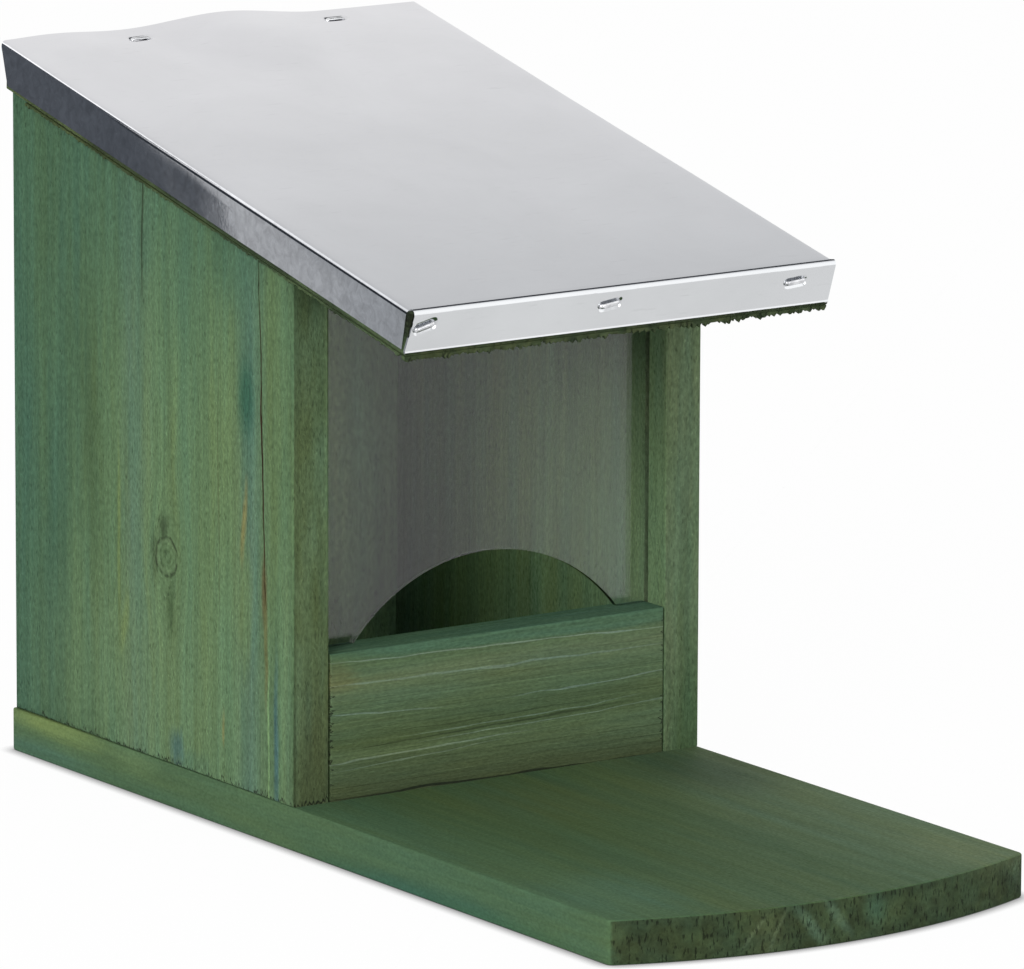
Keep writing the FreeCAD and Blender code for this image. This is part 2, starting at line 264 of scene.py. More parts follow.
END_FIGURE = (
    Figure(0.8, 0.8, (0.3, 0.7), (0.86, 1.14)),
    Figure(0.6, 0.6, (0.57, 0.66), (1.0, 0.36), 2.0, 3.6),
    Figure(7.0, 7.0, (0.3, 0.7), (0.84, 1.14)),
)


EDGE_TONES = (Stain.OLIVE, Stain.HEATH)
END_TONES = (Stain.PINE, Stain.OLIVE)


@dataclass(frozen=True)
class StainedSoftwood:
    """Planed spruce under a thin green wood stain, which lets the grain show through.

    The stain dries in broad soft bands of green, moss and teal along the fibres, darker in
    the early wood and on sawn edges and ends. The surface is dry and close to matt. Bands
    are places in millimetres along the across axis, each with its tone.
    """

    name: str
    grain: Grain
    across: Grain
    bands: tuple[tuple[float, Stain], ...]
    edge_axis: Grain
    edge_tones: tuple[Stain, Stain]
    end_tones: tuple[Stain, Stain]
    figure: tuple[Figure, ...] = PLANED_FIGURE
    marks: tuple[StainMark, ...] = ()
    knots: tuple[Knot, ...] = ()
    roughness: float = 0.7
    offset: float = 0.0
    pitch: float = 0.0
    warm: tuple[float, float, float] = (1.1, 1.02, 0.86)
    cool: tuple[float, float, float] = (0.9, 0.99, 1.05)

    def stretched(self, tree: bpy.types.NodeTree, point: bpy.types.NodeSocket, width: float,
                  length: float, shift: float = 0.0, rise: float = 1.0) -> bpy.types.NodeSocket:
        """Scales space so that one unit is a feature's width, and its length along the grain.

        Args:
            tree: The node tree.
            point: The position in metres.
            width: Width of the feature across the grain, millimetres.
            length: Length of the feature along the grain, millimetres.
            shift: Moves the pattern, so that two patterns differ.
            rise: Stretches the feature upwards.

        Returns:
            The scaled position.
        """
        scale = [length if part else width for part in self.grain.value]
        scale[2] *= rise
        node = add_node(tree, "Mapping", {
            "Vector": point, "Scale": metres(*scale),
            "Location": metres(37.0 * (self.offset + shift), 53.0 * shift, 71.0 * self.offset),
            "Rotation": (math.radians(self.pitch), 0.0, 0.0)}, vector_type="TEXTURE")
        return node.outputs[0]

    def wandering(self, tree: bpy.types.NodeTree, point: bpy.types.NodeSocket, width: float,
                  length: float, sway: tuple[float, float]) -> bpy.types.NodeSocket:
        """Shifts the position to and fro, so that a straight pattern wanders.

        Args:
            tree: The node tree.
            point: The position in metres.
            width: Width of a swing across the grain, millimetres.
            length: Length of a swing along the grain, millimetres.
            sway: Largest shift across and along the grain, millimetres.

        Returns:
            The shifted position.
        """
        noise = add_node(tree, "TexNoise", {
            "Vector": self.stretched(tree, point, width, length, 5.0), "Scale": 1.0,
            "Detail": 2.0})
        centred = add_node(tree, "VectorMath", {0: noise.outputs["Color"],
                                                1: (0.5, 0.5, 0.5)}, operation="SUBTRACT")
        amount = [sway[1] if part else sway[0] for part in self.grain.value]
        return add_node(tree, "VectorMath", {
            0: centred.outputs[0], 1: metres(*amount) * 2.5, 2: point},
            operation="MULTIPLY_ADD").outputs[0]

    def bent_point(self, tree: bpy.types.NodeTree) -> bpy.types.NodeSocket:
        """The position, drawn in towards each knot so that the grain flows round it."""
        point = add_node(tree, "TexCoord").outputs["Object"]
        for knot in self.knots:
            spread = [knot.radius * 2.6, knot.radius * 2.6, knot.radius * 4.5]
            local = add_node(tree, "Mapping", {
                "Vector": point, "Location": metres(*knot.centre), "Scale": metres(*spread)},
                vector_type="TEXTURE").outputs[0]
            near = add_node(tree, "TexGradient", {"Vector": local}, gradient_type="SPHERICAL")
            pull = add_node(tree, "VectorMath", {0: local, "Scale": near.outputs[1]},
                            operation="SCALE").outputs[0]
            point = add_node(tree, "VectorMath", {
                0: pull, 1: metres(0.0, -knot.radius * 1.8, 0.0), 2: point},
                operation="MULTIPLY_ADD").outputs[0]
        return point

    def facing(self, tree: bpy.types.NodeTree, axis: Grain) -> bpy.types.NodeSocket:
        """A factor that is 1 on faces that look along an axis, either way.

        Args:
            tree: The node tree.
            axis: The axis.

        Returns:
            The factor's socket.
        """
        normal = add_node(tree, "TexCoord").outputs["Normal"]
        turned = Matrix.Rotation(math.radians(self.pitch), 3, "X") @ Vector(axis.value)
        along = add_node(tree, "VectorMath", {0: normal, 1: turned}, operation="DOT_PRODUCT")
        size = add_node(tree, "Math", {0: along.outputs["Value"]}, operation="ABSOLUTE")
        return add_node(tree, "MapRange", {"Value": size.outputs[0], "From Min": 0.6,
                                           "From Max": 0.86}).outputs[0]

    def banded(self, tree: bpy.types.NodeTree, point: bpy.types.NodeSocket) -> bpy.types.NodeSocket:
        """The broad bands of the stain.

        Args:
            tree: The node tree.
            point: The position, bent round the knots.

        Returns:
            The colour.
        """
        waved = self.wandering(tree, point, 8.0, 120.0, (2.6, 0.0))
        place = add_node(tree, "VectorMath", {0: waved, 1: self.across.value},
                         operation="DOT_PRODUCT")
        first, last = self.bands[0][0], self.bands[-1][0]
        share = add_node(tree, "MapRange", {
            "Value": place.outputs["Value"], "From Min": first * MILLIMETRE,
            "From Max": last * MILLIMETRE})
        ramp = add_node(tree, "ValToRGB", {"Fac": share.outputs[0]})
        elements = ramp.color_ramp.elements
        elements[0].color = colour(self.bands[0][1].value)
        elements[1].color = colour(self.bands[-1][1].value)
        for where, tone in self.bands[1:-1]:
            elements.new((where - first) / (last - first)).color = colour(tone.value)
        return ramp.outputs["Color"]

    def figured(self, tree: bpy.types.NodeTree, point: bpy.types.NodeSocket,
                layers: tuple[Figure, ...]) -> bpy.types.NodeSocket:
        """How much the wood's figure lightens or darkens the stain, around 1.

        Args:
            tree: The node tree.
            point: The position, bent round the knots.
            layers: The layers that are multiplied.

        Returns:
            The factor's socket.
        """
        product = None
        for number, layer in enumerate(layers):
            place = self.stretched(tree, point, layer.width, layer.length, number + 1.0,
                                   layer.rise)
            noise = add_node(tree, "TexNoise", {
                "Vector": place, "Scale": 1.0, "Detail": layer.detail, "Roughness": 0.55})
            gain = add_node(tree, "MapRange", {
                "Value": noise.outputs[0], "From Min": layer.span[0], "From Max": layer.span[1],
                "To Min": layer.gain[0], "To Max": layer.gain[1]}).outputs[0]
            if product is None:
                product = gain
            else:
                product = add_node(tree, "Math", {0: product, 1: gain},
                                   operation="MULTIPLY").outputs[0]
        return product

    def streaked(self, tree: bpy.types.NodeTree, point: bpy.types.NodeSocket,
                 shade: bpy.types.NodeSocket) -> bpy.types.NodeSocket:
        """Lets the stain lean to moss and to teal in turn, in streaks along the fibres.

        Args:
            tree: The node tree.
            point: The position, bent round the knots.
            shade: The colour so far.

        Returns:
            The colour with the streaks.
        """
        noise = add_node(tree, "TexNoise", {
            "Vector": self.stretched(tree, point, 8.0, 90.0, 9.0), "Scale": 1.0,
            "Detail": 4.0, "Roughness": 0.6})
        share = add_node(tree, "MapRange", {"Value": noise.outputs[0], "From Min": 0.32,
                                            "From Max": 0.68})
        lean = add_node(tree, "Mix", {0: share.outputs[0], 6: (*self.warm, 1.0),
                                      7: (*self.cool, 1.0)}, data_type="RGBA")
        return add_node(tree, "VectorMath", {0: shade, 1: lean.outputs[2]},
                        operation="MULTIPLY").outputs[0]

    def marked(self, tree: bpy.types.NodeTree, shade: bpy.types.NodeSocket) -> bpy.types.NodeSocket:
        """Lays the local marks over the stain.

        Args:
            tree: The node tree.
            shade: The colour so far.

        Returns:
            The colour with the marks.
        """
        point = add_node(tree, "TexCoord").outputs["Object"]
        broad = self.wandering(tree, point, 9.0, 30.0, (0.9, 0.9))
        rough = self.wandering(tree, broad, 0.9, 11.0, (0.3, 3.0))
        for mark in self.marks:
            turn = [math.radians(mark.lean) * part for part in mark.about.value]
            local = add_node(tree, "Mapping", {
                "Vector": rough, "Location": metres(*mark.centre), "Rotation": turn,
                "Scale": metres(*mark.reach)}, vector_type="TEXTURE").outputs[0]
            near = add_node(tree, "TexGradient", {"Vector": local}, gradient_type="SPHERICAL")
            share = add_node(tree, "MapRange", {
                "Value": near.outputs[1], "From Max": 1.0 / mark.crisp,
                "To Max": mark.strength}, interpolation_type="SMOOTHSTEP").outputs[0]
            shade = add_node(tree, "Mix", {0: share, 6: shade, 7: colour(mark.tint.value)},
                             data_type="RGBA").outputs[2]
        return shade

    def knotted(self, tree: bpy.types.NodeTree,
                shade: bpy.types.NodeSocket) -> bpy.types.NodeSocket:
        """Paints the knots' rings.

        Args:
            tree: The node tree.
            shade: The colour so far.

        Returns:
            The colour with the knots.
        """
        stops = ((Stain.PINE, 0.0, 0.9), (Stain.LEAF, 0.16, 0.8), (Stain.IVY, 0.3, 0.9),
                 (Stain.MOSS, 0.42, 0.75), (Stain.IVY, 0.55, 0.85), (Stain.SAGE, 0.68, 0.7),
                 (Stain.HEATH, 0.77, 0.7), (Stain.PITCH, 0.87, 1.0), (Stain.PINE, 0.94, 0.8),
                 (Stain.LEAF, 1.0, 0.0))
        for knot in self.knots:
            point = add_node(tree, "TexCoord").outputs["Object"]
            uneven = self.wandering(tree, point, knot.radius * 1.2, knot.radius * 1.6,
                                    (knot.radius * 0.16, knot.radius * 0.22))
            local = add_node(tree, "Mapping", {
                "Vector": uneven, "Location": metres(*knot.centre),
                "Scale": metres(knot.depth, knot.radius, knot.radius * 1.04)},
                vector_type="TEXTURE").outputs[0]
            away = add_node(tree, "VectorMath", {0: local}, operation="LENGTH")
            rings = add_node(tree, "ValToRGB", {"Fac": away.outputs["Value"]})
            broken = add_node(tree, "TexNoise", {
                "Vector": point, "Scale": 1.0 / (knot.radius * 0.35 * MILLIMETRE), "Detail": 3.0})
            worn = add_node(tree, "MapRange", {"Value": broken.outputs[0], "From Min": 0.38,
                                               "From Max": 0.6, "To Min": 0.25})
            ramp = rings.color_ramp
            ramp.elements[0].color = (*colour(stops[0][0].value)[:3], stops[0][2])
            ramp.elements[1].color = (*colour(stops[-1][0].value)[:3], stops[-1][2])
            for tint, place, share in stops[1:-1]:
                ramp.elements.new(place).color = (*colour(tint.value)[:3], share)
            share = add_node(tree, "Math", {0: rings.outputs["Alpha"], 1: worn.outputs[0]},
                             operation="MULTIPLY")
            shade = add_node(tree, "Mix", {0: share.outputs[0], 6: shade,
                                           7: rings.outputs["Color"]},
                             data_type="RGBA").outputs[2]
        return shade

    def edged(self, tree: bpy.types.NodeTree, shade: bpy.types.NodeSocket,
              axis: Grain, tones: tuple[Stain, Stain], width: float) -> bpy.types.NodeSocket:
        """Lays other tones over the faces that look along an axis.

        Args:
            tree: The node tree.
            shade: The colour so far.
            axis: The axis of the narrow edges or of the ends.
            tones: The two tones that take turns there.
            width: Width of their patches, millimetres.

        Returns:
            The colour with the edges.
        """
        point = add_node(tree, "TexCoord").outputs["Object"]
        patches = add_node(tree, "TexNoise", {
            "Vector": self.stretched(tree, point, width, width * 4.0, 7.0), "Scale": 1.0,
            "Detail": 2.0})
        share = add_node(tree, "MapRange", {"Value": patches.outputs[0], "From Min": 0.35,
                                            "From Max": 0.65})
        stain = add_node(tree, "Mix", {0: share.outputs[0], 6: colour(tones[0].value),
                                       7: colour(tones[1].value)}, data_type="RGBA")
        return add_node(tree, "Mix", {0: self.facing(tree, axis), 6: shade,
                                      7: stain.outputs[2]}, data_type="RGBA").outputs[2]

    def build(self) -> bpy.types.Material:
        """Builds the finish.

        Returns:
            The material.
        """
        material, tree = empty_material(self.name)
        point = self.bent_point(tree)
        shade = self.banded(tree, point)
        shade = self.edged(tree, shade, self.edge_axis, self.edge_tones, 6.0)
        shade = self.edged(tree, shade, self.grain, self.end_tones, 3.0)
        shade = self.marked(tree, shade)
        shade = self.knotted(tree, shade)
        shade = self.streaked(tree, point, shade)
        end = self.facing(tree, self.grain)
        relief = add_node(tree, "Mix", {
            0: end, 2: self.figured(tree, point, self.figure),
            3: self.figured(tree, point, END_FIGURE)}, data_type="FLOAT").outputs[0]
        figured = add_node(tree, "VectorMath", {0: shade, "Scale": relief}, operation="SCALE")
        bump = add_node(tree, "Bump", {"Height": relief, "Strength": 0.6,
                                       "Distance": 0.3 * MILLIMETRE})
        rough = add_node(tree, "MapRange", {
            "Value": relief, "From Min": 0.8, "From Max": 1.2, "To Min": self.roughness + 0.1,
            "To Max": self.roughness - 0.08})
        shader = add_node(tree, "BsdfPrincipled", {
            "Base Color": figured.outputs[0], "Roughness": rough.outputs[0],
            "Normal": bump.outputs[0], "Specular IOR Level": 0.12, "IOR": 1.5})
        close_material(tree, shader)
        return material


@dataclass(frozen=True)
class GalvanisedSheet:
    """Skin-passed galvanised steel sheet, smooth, with a soft even sheen.

    The zinc gives a pale grey mirror that blurs what it reflects, with faint cloudy stains
    and short rubs from rolling. Its colour holds a painted reflection: the top darkens
    towards the front, and faces that look forward, on the front fold, are painted brighter.
    """

    name: str = "galvanised steel sheet"
    # painted reflection: tones and places of the top's rear-to-front darkening, and the front
    # fold's brighter tone
    rear_reflection_tone: str = "#d8d8db"
    front_reflection_tone: str = "#b5b7bb"
    fold_reflection_tone: str = "#ced0d2"
    reflection_rear_place: float = 136.0
    reflection_front_place: float = -46.0
    roughness: float = 0.08
    cloud_size: float = 34.0
    cloud_depth: float = 0.035
    rub_length: float = 7.0
    rub_width: float = 0.9
    spangle: float = 3.0
    spangle_depth: float = 0.16

    def build(self) -> bpy.types.Material:
        """Builds the finish.

        Returns:
            The material.
        """
        material, tree = empty_material(self.name)
        point = add_node(tree, "TexCoord").outputs["Object"]
        # painted reflection: the colour darkens from the rear tone to the front tone along Y
        place = add_node(tree, "SeparateXYZ", {0: point})
        share = add_node(tree, "MapRange", {
            "Value": place.outputs["Y"], "From Min": self.reflection_rear_place * MILLIMETRE,
            "From Max": self.reflection_front_place * MILLIMETRE})
        shade = add_node(tree, "Mix", {0: share.outputs[0], 6: colour(self.rear_reflection_tone),
                                       7: colour(self.front_reflection_tone)}, data_type="RGBA")
        # painted reflection: faces that look forward take the fold's brighter tone
        forward = add_node(tree, "VectorMath", {
            0: add_node(tree, "TexCoord").outputs["Normal"], 1: (0.0, -1.0, 0.0)},
            operation="DOT_PRODUCT")
        fold = add_node(tree, "MapRange", {"Value": forward.outputs["Value"], "From Min": 0.6,
                                           "From Max": 0.9})
        shade = add_node(tree, "Mix", {0: fold.outputs[0], 6: shade.outputs[2],
                                       7: colour(self.fold_reflection_tone)}, data_type="RGBA")
        cloud = add_node(tree, "TexNoise", {
            "Vector": point, "Scale": 1.0 / (self.cloud_size * MILLIMETRE), "Detail": 5.0,
            "Roughness": 0.6, "Distortion": 0.4})
        cloudy = add_node(tree, "MapRange", {
            "Value": cloud.outputs[0], "From Min": 0.3, "From Max": 0.7,
            "To Min": 1.0 + self.cloud_depth, "To Max": 1.0 - self.cloud_depth})
        smear = add_node(tree, "Mapping", {
            "Vector": point, "Scale": metres(self.rub_length, self.rub_width, self.rub_width)},
            vector_type="TEXTURE")
        rubs = add_node(tree, "TexNoise", {"Vector": smear.outputs[0], "Scale": 1.0,
                                           "Detail": 4.0})
        rubbed = add_node(tree, "MapRange", {
            "Value": rubs.outputs[0], "From Min": 0.64, "From Max": 0.74, "To Min": 1.0,
            "To Max": 0.94})
        gain = add_node(tree, "Math", {0: cloudy.outputs[0], 1: rubbed.outputs[0]},
                        operation="MULTIPLY")
        aside = add_node(tree, "VectorMath", {
            0: add_node(tree, "TexCoord").outputs["Normal"], 1: (1.0, 0.0, 0.0)},
            operation="DOT_PRODUCT")
        bare = add_node(tree, "Math", {0: aside.outputs["Value"], 1: aside.outputs["Value"]},
                        operation="MULTIPLY")
        spots = add_node(tree, "TexNoise", {
            "Vector": point, "Scale": 1.0 / (self.spangle * MILLIMETRE), "Detail": 5.0,
            "Roughness": 0.65, "Distortion": 0.8})
        spotted = add_node(tree, "MapRange", {
            "Value": spots.outputs[0], "From Min": 0.34, "From Max": 0.66,
            "To Min": 1.0 - self.spangle_depth, "To Max": 1.0 + self.spangle_depth})
        mottle = add_node(tree, "Mix", {0: bare.outputs[0], 2: 1.0, 3: spotted.outputs[0]},
                          data_type="FLOAT")
        gain = add_node(tree, "Math", {0: gain.outputs[0], 1: mottle.outputs[0]},
                        operation="MULTIPLY")
        toned = add_node(tree, "VectorMath", {0: shade.outputs[2], "Scale": gain.outputs[0]},
                         operation="SCALE")
        rough = add_node(tree, "MapRange", {
            "Value": cloud.outputs[0], "From Min": 0.3, "From Max": 0.7,
            "To Min": self.roughness - 0.03, "To Max": self.roughness + 0.06})
        bump = add_node(tree, "Bump", {"Height": rubs.outputs[0], "Strength": 0.1,
                                       "Distance": 0.05 * MILLIMETRE})
        shader = add_node(tree, "BsdfPrincipled", {
            "Base Color": toned.outputs[0], "Metallic": 1.0, "Roughness": rough.outputs[0],
            "Normal": bump.outputs[0]})
        close_material(tree, shader)
        return material


@dataclass(frozen=True)
class ZincPlating:
    """Bright zinc plating on small pressed and turned steel parts, slightly yellowed."""

    name: str
    tone: str
    dull_tone: str
    roughness: float
    spot_size: float = 2.5

    def build(self) -> bpy.types.Material:
        """Builds the finish.

        Returns:
            The material.
        """
        material, tree = empty_material(self.name)
        point = add_node(tree, "TexCoord").outputs["Object"]
        spots = add_node(tree, "TexNoise", {
            "Vector": point, "Scale": 1.0 / (self.spot_size * MILLIMETRE), "Detail": 4.0})
        share = add_node(tree, "MapRange", {"Value": spots.outputs[0], "From Min": 0.4,
                                            "From Max": 0.7})
        shade = add_node(tree, "Mix", {0: share.outputs[0], 6: colour(self.tone),
                                       7: colour(self.dull_tone)}, data_type="RGBA")
        rough = add_node(tree, "MapRange", {"Value": spots.outputs[0],
                                            "To Min": self.roughness - 0.06,
                                            "To Max": self.roughness + 0.1})
        shader = add_node(tree, "BsdfPrincipled", {
            "Base Color": shade.outputs[2], "Metallic": 1.0, "Roughness": rough.outputs[0]})
        close_material(tree, shader)
        return material


@dataclass(frozen=True)
class ClearAcrylic:
    """Clear polished acrylic sheet, a smooth clear mirror with a faint haze from handling."""

    name: str = "clear acrylic sheet"
    tone: str = "#f7f5fa"
    clearness: float = 1.0
    index: float = 1.43
    roughness: float = 0.015
    haze: float = 0.03

    def build(self) -> bpy.types.Material:
        """Builds the finish.

        Returns:
            The material.
        """
        material, tree = empty_material(self.name)
        point = add_node(tree, "TexCoord").outputs["Object"]
        haze = add_node(tree, "TexNoise", {"Vector": point, "Scale": 1.0 / (30.0 * MILLIMETRE),
                                           "Detail": 3.0})
        rough = add_node(tree, "MapRange", {"Value": haze.outputs[0], "From Min": 0.4,
                                            "From Max": 0.75, "To Min": self.roughness,
                                            "To Max": self.roughness + self.haze})
        shader = add_node(tree, "BsdfPrincipled", {
            "Base Color": colour(self.tone), "Roughness": rough.outputs[0],
            "Transmission Weight": self.clearness, "IOR": self.index})
        close_material(tree, shader)
        return material


def dress(node: bpy.types.Object, material: bpy.types.Material) -> None:
    """Gives a piece one material all over.

    Args:
        node: The piece.
        material: Its finish.
    """
    if not node.data.materials:
        node.data.materials.append(material)
    for slot in node.material_slots:
        slot.material = material
    log.info("%s: %s", node.name, material.name)


@contextmanager
def editing(piece: bpy.types.Object) -> Iterator[None]:
    """Works on one piece alone in edit mode.

    Args:
        piece: The piece.

    Yields:
        Nothing; the piece is in edit mode meanwhile.
    """
    bpy.ops.object.select_all(action="DESELECT")
    piece.select_set(True)
    bpy.context.view_layer.objects.active = piece
    bpy.ops.object.mode_set(mode="EDIT")
    yield
    bpy.ops.object.mode_set(mode="OBJECT")


def pick(kind: Pick, test: Callable[[Vector], bool]) -> None:
    """Selects the parts of the edited mesh whose centre passes a test.

    Args:
        kind: Corners, edges or faces.
        test: Gets a centre in millimetres and says whether it is wanted.
    """
    mesh = bpy.context.active_object.data
    bpy.ops.mesh.select_mode(type=kind.value)
    bpy.ops.mesh.select_all(action="DESELECT")
    shape = bmesh.from_edit_mesh(mesh)
    parts = {Pick.CORNERS: shape.verts, Pick.EDGES: shape.edges, Pick.FACES: shape.faces}[kind]
    for part in parts:
        corners = [part] if kind is Pick.CORNERS else list(part.verts)
        centre = sum((corner.co for corner in corners), Vector()) / len(corners)
        if test(centre / MILLIMETRE):
            part.select_set(True)
    shape.select_flush_mode()
    bmesh.update_edit_mesh(mesh)


def extrude(move: Vector, size: tuple[float, float, float] = (1.0, 1.0, 1.0)) -> None:
    """Extrudes the selection by a move in metres, then scales its new end.

    Args:
        move: The move.
        size: The scale about the new end's middle.
    """
    bpy.ops.mesh.extrude_region_move(TRANSFORM_OT_translate={"value": move})
    bpy.ops.transform.resize(value=size)


def finished(piece: bpy.types.Object, kind: str, **settings: object) -> None:
    """Adds a modifier to a piece and applies it.

    Args:
        piece: The piece.
        kind: The modifier's type.
        settings: Its settings.
    """
    modifier = piece.modifiers.new(kind.lower(), kind)
    for name, value in settings.items():
        setattr(modifier, name, value)
    bpy.context.view_layer.objects.active = piece
    bpy.ops.object.modifier_apply(modifier=modifier.name)


def applied(piece: bpy.types.Object) -> None:
    """Takes a piece's own place and scale into its mesh.

    Args:
        piece: The piece.
    """
    bpy.ops.object.select_all(action="DESELECT")
    piece.select_set(True)
    bpy.context.view_layer.objects.active = piece
    bpy.ops.object.transform_apply(location=True, rotation=True, scale=True)


def placed(piece: bpy.types.Object, place: Matrix) -> None:
    """Moves a piece and takes the move into its mesh.

    Args:
        piece: The piece.
        place: Its new place.
    """
    piece.matrix_world = place
    applied(piece)


def joined(name: str, parts: list[bpy.types.Object]) -> bpy.types.Object:
    """Joins parts to one piece.

    Args:
        name: The piece's name.
        parts: The parts, the first of which takes in the others.

    Returns:
        The piece.
    """
    bpy.ops.object.select_all(action="DESELECT")
    for part in parts:
        part.select_set(True)
    bpy.context.view_layer.objects.active = parts[0]
    if len(parts) > 1:
        bpy.ops.object.join()
    parts[0].name = name
    return parts[0]


def workpiece(node: bpy.types.Object, name: str) -> bpy.types.Object:
    """Copies a construction solid to a piece whose mesh can be worked on.

    Args:
        node: The construction's piece.
        name: The copy's name.

    Returns:
        The copy, its triangles merged to whole faces.
    """
    piece = bpy.data.objects.new(name, node.data.copy())
    bpy.context.scene.collection.objects.link(piece)
    piece.matrix_world = node.matrix_world.copy()
    with editing(piece):
        bpy.ops.mesh.select_all(action="SELECT")
        bpy.ops.mesh.remove_doubles(threshold=0.01 * MILLIMETRE)
        bpy.ops.mesh.dissolve_limited(angle_limit=math.radians(0.5))
    return piece


def kept(piece: bpy.types.Object, body: Body, node: str) -> None:
    """Attaches a modelled piece to its body and hides the construction's piece that it stands for.

    Args:
        piece: The piece.
        body: The body that it moves with.
        node: The construction's piece that it replaces.
    """
    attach(piece, body.value)
    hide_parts(node)


